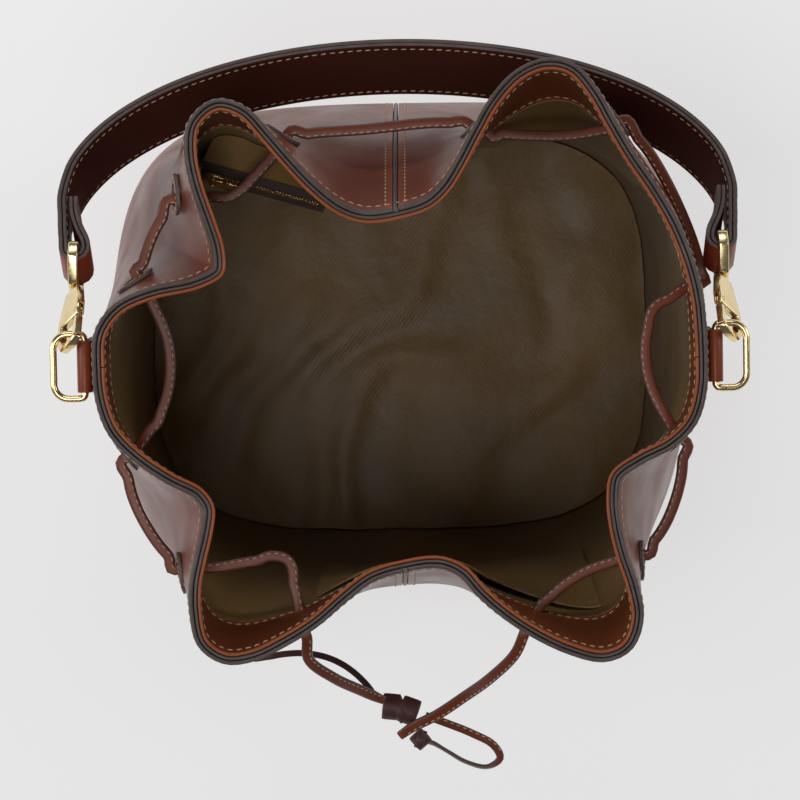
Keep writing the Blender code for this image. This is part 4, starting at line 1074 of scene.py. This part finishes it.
def make_facing():
    """The leather band inside the mouth, in two lengths with painted edges."""
    quarter = COLUMNS // 4
    rows = rows_between(FACING_ROW, 1, 0.02)
    loop = edge_profile(*FACING, rows, 8)
    made = []
    for node, first, last in (("facing_front", -quarter, quarter),
                              ("facing_back", quarter, 3 * quarter)):
        columns = [column % COLUMNS for column in range(first, last + 1)]
        grid = layer_grid(loop, columns, ends_room=0.2 * MM)
        bright = leather_finish("facing_edge_finish", scaled(tuple(colours().facing), 1.35),
                                (0.4, 0.55))
        piece = skin(node + "_leather", grid, around=True, ends=True,
                     bands=paint_bands(loop, 1 - 1.0 * MM / SLANT))
        dress(piece, "bag", "facing_leather", [facing_finish(), bright], node)
        made.append(piece)
    cut_slots(made)


def make_lining():
    """Wrinkled satin walls and floor."""
    rows = rows_between(-1, 0, 0.05)[:-1] + rows_between(0, FACING_ROW, 0.02)
    rows[-1] -= 1.2 * MM / SLANT
    loop = [(row, LINING[0]) for row in rows] + [(row, LINING[1]) for row in rows[::-1]]
    grid = layer_grid(loop, list(range(COLUMNS)), lining_shift, 5.7 * MM)
    piece = skin("lining_wall_cloth", grid, around=True, along=True)
    dress(piece, "bag", "lining_cloth", [lining_finish()], "lining_wall")
    bottom = BASE_LEATHER + BASE_BOARD + 2 * GAP
    outline = BASE_LINE[::2] + outward(BASE_LINE)[::2] * -0.5 * MM
    shares = [0.12, 0.24, 0.36, 0.48, 0.6, 0.7, 0.8, 0.88, 0.95, 1.0]
    lines = []
    for share in shares:
        points = np.column_stack([outline * share, np.zeros(len(outline))])
        folds = np.abs(clouds(points, np.array([24, 24, 1]), 8.2))
        rise = sizes().wrinkle_depth * 1.1 * folds * min(1, (1 - share) * 8)
        points[:, 2] = bottom + FLOOR_CLOTH + rise
        lines.append(points)
    under = [line * (1, 1, 0) + (0, 0, bottom) for line in lines[::-1]]
    piece = skin("lining_floor_cloth", np.array(lines + under), along=True)
    shape = bmesh.new()
    shape.from_mesh(piece.data)
    holes = [edge for edge in shape.edges if edge.is_boundary]
    bmesh.ops.holes_fill(shape, edges=holes, sides=0)
    bmesh.ops.recalc_face_normals(shape, faces=shape.faces)
    shape.to_mesh(piece.data)
    shape.free()
    dress(piece, "bag", "lining_cloth", [lining_finish()], "lining_floor")


def make_base():
    """Base leather with soft edges, and the finish of the hidden board."""
    polished("base_panel", "bag", "outer_leather", [outer_finish()], 0.6 * MM, 2)
    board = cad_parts["base_board"]
    board.data.materials.clear()
    board.data.materials.append(board_finish())


def make_patches():
    """Oval leather patches round the slots, bent to the wall, with painted edges."""
    for number, place in enumerate(SLOTS, start=1):
        shape = bmesh.new()
        oval_ring(shape, PATCH_SIZE, 0)
        oval_ring(shape, SLOT_SIZE, 0)
        bmesh.ops.bridge_loops(shape, edges=shape.edges[:])
        bmesh.ops.subdivide_edges(
            shape, cuts=2, use_grid_fill=True,
            edges=[edge for edge in shape.edges if not edge.is_boundary])
        risen = bmesh.ops.extrude_face_region(shape, geom=shape.faces[:])["geom"]
        top = [item for item in risen if isinstance(item, bmesh.types.BMVert)]
        bmesh.ops.translate(shape, verts=top, vec=(0, 0, PATCH_THICKNESS))
        bmesh.ops.recalc_face_normals(shape, faces=shape.faces)
        rims = [edge for edge in shape.edges if len(edge.link_faces) == 2
                and abs(edge.calc_face_angle(0)) > 1
                and edge.verts[0].co.z > 0.5 * PATCH_THICKNESS]
        bmesh.ops.bevel(shape, geom=rims, offset=0.45 * MM, segments=3, affect="EDGES",
                        profile=0.5, material=-1)
        for face in shape.faces:
            face.normal_update()
            face.material_index = 1 if abs(face.normal.z) < 0.75 else 0
        matrix = slot_frame(place)
        for vertex in shape.verts:
            flat = matrix @ Vector((vertex.co.x, vertex.co.y, 0))
            spot, normal = wall_point(np.array(flat[:2]), flat.z, 0)
            vertex.co = Vector(spot) + Vector(normal) * (OUTER[1] + 0.15 * MM + vertex.co.z)
        piece = from_bmesh(f"slot_patch_{number:02d}_leather", shape)
        dress(piece, "bag", "outer_leather", [outer_finish(), paint_finish()],
              f"slot_patch_{number:02d}")
        line, normals = [], []
        half = (PATCH_SIZE[0] - PATCH_SIZE[1]) / 2
        for angle in np.linspace(0, 2 * math.pi, 41)[:-1]:
            x = math.copysign(half, math.cos(angle)) + PATCH_SEAM * math.cos(angle)
            flat = matrix @ Vector((x, PATCH_SEAM * math.sin(angle), 0))
            spot, normal = wall_point(np.array(flat[:2]), flat.z, 0)
            line.append(spot + normal * (OUTER[1] + 0.2 * MM + PATCH_THICKNESS))
            normals.append(normal)
        stitches(f"slot_patch_{number:02d}_stitches", line, normals, "bag", 2.6 * MM,
                 closed=True, width=0.55 * MM)


# ------------------------------------------------------------------ straps
def strap_section(low, high, corner):
    """A strap's rounded section: side, distance in from that side's edge, and level."""
    section = []
    for side, level, up in ((1, high, 1), (-1, high, 1), (-1, low, -1), (1, low, -1)):
        steps = np.linspace(0, math.pi / 2, 4)
        for angle in steps if side * up > 0 else steps[::-1]:
            section.append((side, corner * math.cos(angle) - corner,
                            level + up * corner * (math.sin(angle) - 1)))
    return section


def strap(name, path, layer, halves, matrix, lift=0.0, corner=0.55 * MM):
    """A leather strap whose path lies in a frame's XY plane, spread to both sides along Z."""
    section = strap_section(*layer, corner)
    ways = tangents_of(path)
    normals = np.column_stack([ways[:, 1], -ways[:, 0]])
    grid, bands = [], []
    for here, following in zip(section, section[1:] + section[:1]):
        side, inset, level = here
        depth = side * (halves + inset) + lift
        grid.append([matrix @ Vector((x, y, z))
                     for (x, y), z in zip(path + normals * level, depth)])
        rounded = min(inset, following[1]) > -corner * 0.999
        upright = abs(level - following[2]) > (layer[1] - layer[0]) * 0.3
        bands.append(int(side == following[0] and (rounded or upright)))
    return skin(name, np.array(grid), around=True, ends=True, bands=bands)


def strap_stitches(name, path, level, face, halves, matrix, body, inset, lift=0.0, **settings):
    """Stitches along both edges of a strap's face."""
    ways = tangents_of(path)
    normals = np.column_stack([ways[:, 1], -ways[:, 0]])
    turn = np.array(matrix.to_3x3())
    for label, side in (("upper", 1), ("lower", -1)):
        line = path + normals * level
        points = np.column_stack([line, side * (halves - inset) + lift])
        points = points @ turn.T + np.array(matrix.translation)
        faces = np.column_stack([normals * face, np.zeros(len(path))]) @ turn.T
        stitches(f"{name}_{label}", points, faces, body, **settings)


def frame_matrix(across, along, place):
    """A frame from its X and Y directions and its place."""
    across, along = Vector(across).normalized(), Vector(along).normalized()
    turn = Matrix((across, along, across.cross(along))).transposed().to_4x4()
    return Matrix.Translation(Vector(place)) @ turn


def handle_matrix():
    """The hanging handle's frame: X along its axis, Y along its drop."""
    along = (0, math.cos(HANDLE_DROP), -math.sin(HANDLE_DROP))
    return frame_matrix((1, 0, 0), along, HANDLE_AXIS)


def handle_path():
    """The strap's line from end to end in the handle's frame."""
    half_width, rise, middle = ARCH
    fold = STRAP_FOLD
    right = STRAP_END + arc(fold[:2], fold[2], 180, 360, 9) + STRAP_RISE
    angles = np.radians([14, 22, 31, 41, 52, 64, 77, 90])
    right += [(half_width * math.cos(angle), middle + rise * math.sin(angle)) for angle in angles]
    left = [(-x, y) for x, y in right[-2::-1]]
    return np.array(right + left) * MM


def make_handle():
    """The handle strap's two leathers, folded round the strap rings, and its stitching."""
    path = evenly(spline(handle_path(), steps=10), 2.4 * MM)
    halves = np.interp(path[:, 1], HANDLE_TAPER, HANDLE_HALF_WIDTHS)
    matrix = handle_matrix()
    for node, layer, slot, finish in (
            ("handle_outer", HANDLE_OUTER, "outer_leather", outer_finish()),
            ("handle_lining", HANDLE_LINING, "facing_leather", handle_dark_leather_and_shade_finish())):
        piece = strap(node + "_strap", path, layer, halves, matrix, HANDLE_OFFSET)
        dress(piece, "handle", slot, [finish, paint_finish()], node)
    marks = lengths_along(path)
    keep = (marks > HANDLE_SEAM_START) & (marks < marks[-1] - HANDLE_SEAM_START)
    for name, level, face in (("handle_stitches_outside", HANDLE_OUTER[1], 1),
                              ("handle_stitches_inside", HANDLE_LINING[0], -1)):
        strap_stitches(name, path[keep], level, face, halves[keep], matrix, "handle",
                       HANDLE_SEAM, HANDLE_OFFSET)


def make_tabs():
    """Side tabs folded round the rings' bars, stitched down."""
    for name, side in (("right", 1), ("left", -1)):
        heights = np.array([TAB_FOOT, 257 * MM, 268 * MM, 276 * MM])
        faces = [abs(wall_point(np.array((side * 131 * MM, 0)), height, OUTER[1])[0][0])
                 for height in heights]
        inner = np.array(faces) + GAP + TAB_LEATHER / 2
        inner[-1] = RING_BAR_X - TAB_FOLD
        spread = np.array([1.7, 1.7, 2.4, 4.6]) * MM
        path = list(zip(inner, heights))
        path += arc((RING_BAR_X, RING_HEIGHT), TAB_FOLD, 180, 0, 9)
        path += list(zip((inner + spread)[::-1], heights[::-1]))
        path = evenly(spline(path), 1.0 * MM)
        halves = np.full(len(path), TAB_WIDTH / 2)
        matrix = frame_matrix((side, 0, 0), (0, 0, 1), (0, 0, 0))
        piece = strap(f"tab_{name}_leather", path, (-TAB_LEATHER / 2, TAB_LEATHER / 2), halves,
                      matrix, corner=0.45 * MM)
        dress(piece, "bag", "outer_leather", [outer_finish(), paint_finish()], f"tab_{name}")
        outside = path[(np.arange(len(path)) > len(path) * 0.6) & (path[:, 1] < 272 * MM)]
        strap_stitches(f"tab_{name}_stitches", outside, TAB_LEATHER / 2, 1,
                       np.full(len(outside), TAB_WIDTH / 2), matrix, "bag", TAB_SEAM,
                       pitch=3.2 * MM)


def make_rings():
    """The two D-rings, as smooth round wire."""
    at_bar, at_front = RING_CORNERS
    half, depth = RING_HALF_WIDTH, RING_DEPTH
    route = arc((at_bar, at_bar - half), at_bar, 180, 270, 8)
    route += arc((depth - at_front, at_front - half), at_front, -90, 0, 14)
    route += arc((depth - at_front, half - at_front), at_front, 0, 90, 14)
    route += arc((at_bar, half - at_bar), at_bar, 90, 180, 8)
    route = np.column_stack([np.array(route), np.zeros(len(route))])
    angles = np.linspace(0, 2 * math.pi, 21)[:-1]
    ways = tangents_of(route, closed=True)
    across = np.cross(ways, (0, 0, 1.0))
    for name, side in (("right", 1), ("left", -1)):
        matrix = frame_matrix((side, 0, 0), (0, 1, 0), (side * RING_BAR_X, 0, RING_HEIGHT))
        turn, place = np.array(matrix.to_3x3()), np.array(matrix.translation)
        grid = [(route + across * RING_RADIUS * math.cos(angle)
                 + np.array((0, 0, RING_RADIUS * math.sin(angle)))) @ turn.T + place
                for angle in angles]
        piece = skin(f"d_ring_{name}_wire", np.array(grid), around=True, along=True)
        dress(piece, f"ring_{name}", "brass", [brass_finish()], f"d_ring_{name}")


def polished(node, body, slot, finishes, width, segments=3, sharp=30):
    """A merged copy of a solid with its hard edges rounded."""
    shape = bmesh.new()
    shape.from_mesh(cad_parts[node].data)
    bmesh.ops.remove_doubles(shape, verts=shape.verts, dist=1e-6)
    bmesh.ops.dissolve_limit(shape, angle_limit=math.radians(1.5), verts=shape.verts,
                             edges=shape.edges)
    piece = from_bmesh(node + "_finished", shape, sharp)
    bevel = piece.modifiers.new("soft_edges", "BEVEL")
    bevel.width = width
    bevel.segments = segments
    bevel.limit_method = "ANGLE"
    bevel.angle_limit = math.radians(sharp)
    bevel.use_clamp_overlap = True
    bake_modifiers(piece)
    return dress(piece, body, slot, finishes, node)


def make_hooks():
    """Snap hooks, gates, pins, strap rings and swivel posts in pale gold."""
    brass = [brass_finish()]
    for side in ("right", "left"):
        for node, body, edge in (
                (f"hook_body_{side}", f"hook_{side}", 0.16 * MM),
                (f"gate_pin_{side}", f"hook_{side}", 0.1 * MM),
                (f"hook_gate_{side}", f"gate_{side}", 0.2 * MM),
                (f"strap_ring_{side}", "handle", 0.18 * MM),
                (f"swivel_post_{side}", "handle", 0.1 * MM)):
            polished(node, body, "brass", brass, edge, 2, 40)


# ------------------------------------------------------------------ pockets
def slab_skin(name, front, back):
    """A closed cloth layer between two matching grids of places, rows by columns."""
    rows = list(front) + list(back[::-1])
    return skin(name, np.array(rows), around=True, ends=True)


def make_slip_pocket():
    """The open pocket on the front of the lining, with a turned and sewn top."""
    rim = wall_outline(0.74)[0]
    columns = [column % COLUMNS for column in range(-COLUMNS // 4, COLUMNS // 4)
               if SLIP_POCKET_X[0] + 2 * MM < rim[column % COLUMNS][0] < SLIP_POCKET_X[1] - 1 * MM
               and rim[column % COLUMNS][1] < 0]
    gape = np.sin(np.linspace(0, math.pi, len(columns))) * SLIP_POCKET_GAPE
    rows = rows_between(0.2, 0.748, 0.03)
    sides = []
    for offset in (LINING[0] - 0.5 * MM, LINING[0] - 1.4 * MM):
        lines = []
        for row in rows:
            pull = np.interp(row, (0.62, 0.748), (0, 1)) ** 2 * gape
            shift = np.broadcast_to(lining_shift(row), COLUMNS)[columns]
            offsets = np.zeros(COLUMNS)
            offsets[columns] = offset + shift - pull
            lines.append(wall_ring(row, offsets)[columns])
        sides.append(np.array(lines))
    piece = slab_skin("slip_pocket_cloth", *sides)
    dress(piece, "bag", "lining_cloth", [lining_finish()], "slip_pocket")
    hem = sides[1][-2]
    normals = unit(sides[1][-2] - sides[0][-2])
    stitches("slip_pocket_stitches", hem, normals, "bag", 2.8 * MM, width=0.5 * MM,
             finish=hem_thread())


def hem_thread():
    """Thread in a lighter tone of the lining's colour."""
    return cloth_finish("hem_thread_finish", scaled(tuple(colours().lining), 1.5))


def zip_matrix():
    """The zip's frame: X along the teeth, Y up the tape."""
    along = (Vector(ZIP_END) - Vector(ZIP_START)).normalized()
    inward = Vector((along.y, -along.x, 0))
    down = inward * math.cos(ZIP_TILT) - Vector((0, 0, 1)) * math.sin(ZIP_TILT)
    turn = Matrix((along, -down, along.cross(-down))).transposed().to_4x4()
    return Matrix.Translation(Vector(ZIP_START)) @ turn


def make_zip_pocket():
    """The hanging zip pocket: cloth, woven tape, metal teeth, slider and pull."""
    matrix = zip_matrix()
    length = (Vector(ZIP_END) - Vector(ZIP_START)).length
    columns = list(range(42 * 3, 48 * 3 + 1))
    shares = np.linspace(1, 0, len(columns))
    lower = TAPE_SIZE[0] / 2 + 1 * MM
    backs, fronts = [], []
    stations = ((0.2, 0, 0.08), (0.3, 0, 0.27), (0.4, 0, 0.45), (0.49, 0, 0.64), (0.58, 0, 0.8),
                (0.64, 0, 0.93), (0.70, lower, None), (0.7357, -lower, None))
    for row, down, reach in stations:
        back = wall_ring(row, LINING[0] - 1.6 * MM + 0.2 * MM)[columns]
        backs.append(back)
        line = []
        for share, point in zip(shares, back):
            spot = matrix @ Vector((share * length, -down, -TAPE_SIZE[1] - GAP))
            if reach:
                edge = np.array(matrix @ Vector((share * length, -lower, -TAPE_SIZE[1] - GAP)))
                spot = point + (edge - point) * (1, 1, 0) * reach
            line.append(np.array(spot))
        fronts.append(np.array(line))
    piece = slab_skin("zip_pocket_cloth", np.array(backs), np.array(fronts))
    dress(piece, "bag", "lining_cloth", [lining_finish()], "zip_pocket")

    half, thick = TAPE_SIZE[0] / 2, TAPE_SIZE[1]
    path = np.column_stack([np.linspace(0, length, 30), np.full(30, -thick / 2)])
    turned = matrix @ Matrix.Rotation(math.pi / 2, 4, "X")
    tape = strap("zip_tape_fabric", path, (-thick / 2, thick / 2), np.full(30, half), turned,
                 corner=0.2 * MM)
    fabric = cloth_finish("zip_fabric_finish", scaled(tuple(colours().edge), 1.3), (0.6, 0.8),
                          3600, 0.0001)
    dress(tape, "bag", "zip_fabric", [fabric, fabric], "zip_tape")
    shape = bmesh.new()
    for index in range(int((length - 4 * MM) / TOOTH_PITCH)):
        for side in (-1, 1):
            x = 2 * MM + TOOTH_PITCH * (index + 0.25 + 0.25 * side) + 0.3 * MM
            place = matrix @ Matrix.Translation((x, side * 0.55 * MM, GAP + 0.55 * MM))
            size = Matrix.Diagonal((*TOOTH_SIZE, 1))
            bmesh.ops.create_cube(shape, size=1, matrix=place @ size)
    bmesh.ops.bevel(shape, geom=shape.edges[:], offset=0.12 * MM, segments=1, affect="EDGES",
                    profile=0.5, material=-1)
    piece = from_bmesh("zip_teeth_metal", shape)
    dress(piece, "bag", "brass", [brass_finish()], "zip_teeth")
    polished("zip_slider", "zip_slider", "brass", [brass_finish()], 0.2 * MM, 2, 40)
    polished("zip_pull", "zip_pull", "brass", [brass_finish()], 0.2 * MM, 2, 40)


# ------------------------------------------------------------------ stage
def area_light(name, place, aim, size, power):
    """A soft rectangular light that faces a place."""
    data = bpy.data.lights.new(name, "AREA")
    data.shape = "RECTANGLE"
    data.size, data.size_y = size
    data.energy = power
    lamp = bpy.data.objects.new(name, data)
    bpy.context.scene.collection.objects.link(lamp)
    lamp.location = place
    way = Vector(aim) - Vector(place)
    lamp.rotation_euler = way.to_track_quat("-Z", "Y").to_euler()


def make_stage():
    """Camera above the open mouth, pale floor and soft lights."""
    scene = bpy.context.scene
    data = bpy.data.cameras.new("camera")
    data.sensor_width = 36
    data.lens = CAMERA_LENS
    data.clip_start, data.clip_end = 0.05, 20
    camera = bpy.data.objects.new("camera", data)
    scene.collection.objects.link(camera)
    place = Vector(CAMERA_PLACE)
    back = (place - Vector(CAMERA_AIM)).normalized()
    right = Vector(CAMERA_UP).cross(back).normalized()
    up = back.cross(right)
    camera.matrix_world = Matrix.Translation(place) @ Matrix(
        (right, up, back)).transposed().to_4x4()
    scene.camera = camera
    scene.view_settings.view_transform = "Standard"
    scene.view_settings.look = "None"

    shape = bmesh.new()
    bmesh.ops.create_grid(shape, x_segments=8, y_segments=8, size=4.0)
    bmesh.ops.translate(shape, verts=shape.verts, vec=(0, 0, -0.4 * MM))
    floor = from_bmesh("studio_floor", shape)
    nodes = Nodes("floor_finish")
    colour = tuple(colours().floor)
    tone = nodes.tones(nodes.noise(3, 2), scaled(colour, 0.995), scaled(colour, 1.005))
    finish = nodes.finish(tone, nodes.span(nodes.noise(5, 2), 0.9, 0.95))
    nodes.shader.inputs["Emission Color"].default_value = (1, 1, 1, 1)
    nodes.shader.inputs["Emission Strength"].default_value = FLOOR_GLOW
    floor.data.materials.append(finish)

    world = bpy.data.worlds.new("studio")
    world.use_nodes = True
    world.node_tree.nodes["Background"].inputs["Color"].default_value = (1, 1, 1, 1)
    world.node_tree.nodes["Background"].inputs["Strength"].default_value = WORLD_LIGHT
    scene.world = world
    for light in LIGHTS:
        area_light(*light)


# ------------------------------------------------------------------ operators
class BAG_OT_stage(bpy.types.Operator):
    """Make the camera, floor and lights"""
    bl_idname = "bag.stage"
    bl_label = "Stage"

    def execute(self, context):
        make_stage()
        return {"FINISHED"}


class BAG_OT_cords(bpy.types.Operator):
    """Make the cord's loose ends and knot"""
    bl_idname = "bag.cords"
    bl_label = "Loose Cord Ends"

    def execute(self, context):
        make_cords()
        return {"FINISHED"}


class BAG_OT_drawcord(bpy.types.Operator):
    """Make the cord in the slots"""
    bl_idname = "bag.drawcord"
    bl_label = "Drawcord"

    def execute(self, context):
        make_drawcord()
        return {"FINISHED"}


class BAG_OT_outer_leather(bpy.types.Operator):
    """Make both outer halves"""
    bl_idname = "bag.outer_leather"
    bl_label = "Outer Leather"

    def execute(self, context):
        make_outer_leather()
        return {"FINISHED"}


class BAG_OT_trim(bpy.types.Operator):
    """Make the welts and the rim's edge"""
    bl_idname = "bag.trim"
    bl_label = "Welts and Rim"

    def execute(self, context):
        make_trim()
        return {"FINISHED"}


class BAG_OT_facing(bpy.types.Operator):
    """Make the leather inside the mouth"""
    bl_idname = "bag.facing"
    bl_label = "Facing"

    def execute(self, context):
        make_facing()
        return {"FINISHED"}


class BAG_OT_body_stitches(bpy.types.Operator):
    """Sew the body"""
    bl_idname = "bag.body_stitches"
    bl_label = "Body Stitching"

    def execute(self, context):
        make_body_stitches()
        return {"FINISHED"}


class BAG_OT_lining(bpy.types.Operator):
    """Make the cloth walls and floor"""
    bl_idname = "bag.lining"
    bl_label = "Lining"

    def execute(self, context):
        make_lining()
        return {"FINISHED"}


class BAG_OT_base(bpy.types.Operator):
    """Make the base leather"""
    bl_idname = "bag.base"
    bl_label = "Base"

    def execute(self, context):
        make_base()
        return {"FINISHED"}


class BAG_OT_patches(bpy.types.Operator):
    """Make the patches round the slots"""
    bl_idname = "bag.patches"
    bl_label = "Slot Patches"

    def execute(self, context):
        make_patches()
        return {"FINISHED"}


class BAG_OT_tabs(bpy.types.Operator):
    """Make the tabs that hold the rings"""
    bl_idname = "bag.tabs"
    bl_label = "Side Tabs"

    def execute(self, context):
        make_tabs()
        return {"FINISHED"}


class BAG_OT_rings(bpy.types.Operator):
    """Make the two D-rings"""
    bl_idname = "bag.rings"
    bl_label = "D-Rings"

    def execute(self, context):
        make_rings()
        return {"FINISHED"}


class BAG_OT_handle(bpy.types.Operator):
    """Make the handle strap"""
    bl_idname = "bag.handle"
    bl_label = "Handle"

    def execute(self, context):
        make_handle()
        return {"FINISHED"}


class BAG_OT_hooks(bpy.types.Operator):
    """Finish the hooks and strap rings"""
    bl_idname = "bag.hooks"
    bl_label = "Snap Hooks"

    def execute(self, context):
        make_hooks()
        return {"FINISHED"}


class BAG_OT_slip_pocket(bpy.types.Operator):
    """Make the open pocket"""
    bl_idname = "bag.slip_pocket"
    bl_label = "Slip Pocket"

    def execute(self, context):
        make_slip_pocket()
        return {"FINISHED"}


class BAG_OT_zip_pocket(bpy.types.Operator):
    """Make the zip pocket"""
    bl_idname = "bag.zip_pocket"
    bl_label = "Zip Pocket"

    def execute(self, context):
        make_zip_pocket()
        return {"FINISHED"}


OPERATORS = [
    BAG_OT_stage,
    BAG_OT_cords,
    BAG_OT_drawcord,
    BAG_OT_outer_leather,
    BAG_OT_trim,
    BAG_OT_facing,
    BAG_OT_body_stitches,
    BAG_OT_lining,
    BAG_OT_base,
    BAG_OT_patches,
    BAG_OT_tabs,
    BAG_OT_rings,
    BAG_OT_handle,
    BAG_OT_hooks,
    BAG_OT_slip_pocket,
    BAG_OT_zip_pocket,
]


class BAG_PT_panel(bpy.types.Panel):
    """Lists the bag's sizes, colours and steps"""
    bl_idname = "BAG_PT_panel"
    bl_label = "Bucket Bag"
    bl_space_type = "VIEW_3D"
    bl_region_type = "UI"
    bl_category = "Bag"

    def draw(self, context):
        for settings in (sizes(), colours()):
            for name in type(settings).__annotations__:
                self.layout.prop(settings, name)
        for step in OPERATORS:
            self.layout.operator(step.bl_idname)


CLASSES = [BagSizes, BagColours, *OPERATORS, BAG_PT_panel]


def register():
    for made in CLASSES:
        bpy.utils.register_class(made)
    bpy.types.Scene.bag_sizes = bpy.props.PointerProperty(type=BagSizes)
    bpy.types.Scene.bag_colours = bpy.props.PointerProperty(type=BagColours)


def unregister():
    del bpy.types.Scene.bag_sizes
    del bpy.types.Scene.bag_colours
    for made in reversed(CLASSES):
        bpy.utils.unregister_class(made)


def main():
    """Make the whole bag."""
    register()
    bpy.ops.bag.stage()
    bpy.ops.bag.cords()
    bpy.ops.bag.drawcord()
    bpy.ops.bag.outer_leather()
    bpy.ops.bag.trim()
    bpy.ops.bag.facing()
    bpy.ops.bag.body_stitches()
    bpy.ops.bag.lining()
    bpy.ops.bag.base()
    bpy.ops.bag.patches()
    bpy.ops.bag.tabs()
    bpy.ops.bag.rings()
    bpy.ops.bag.handle()
    bpy.ops.bag.hooks()
    bpy.ops.bag.slip_pocket()
    bpy.ops.bag.zip_pocket()


if __name__ == "__main__":
    main()
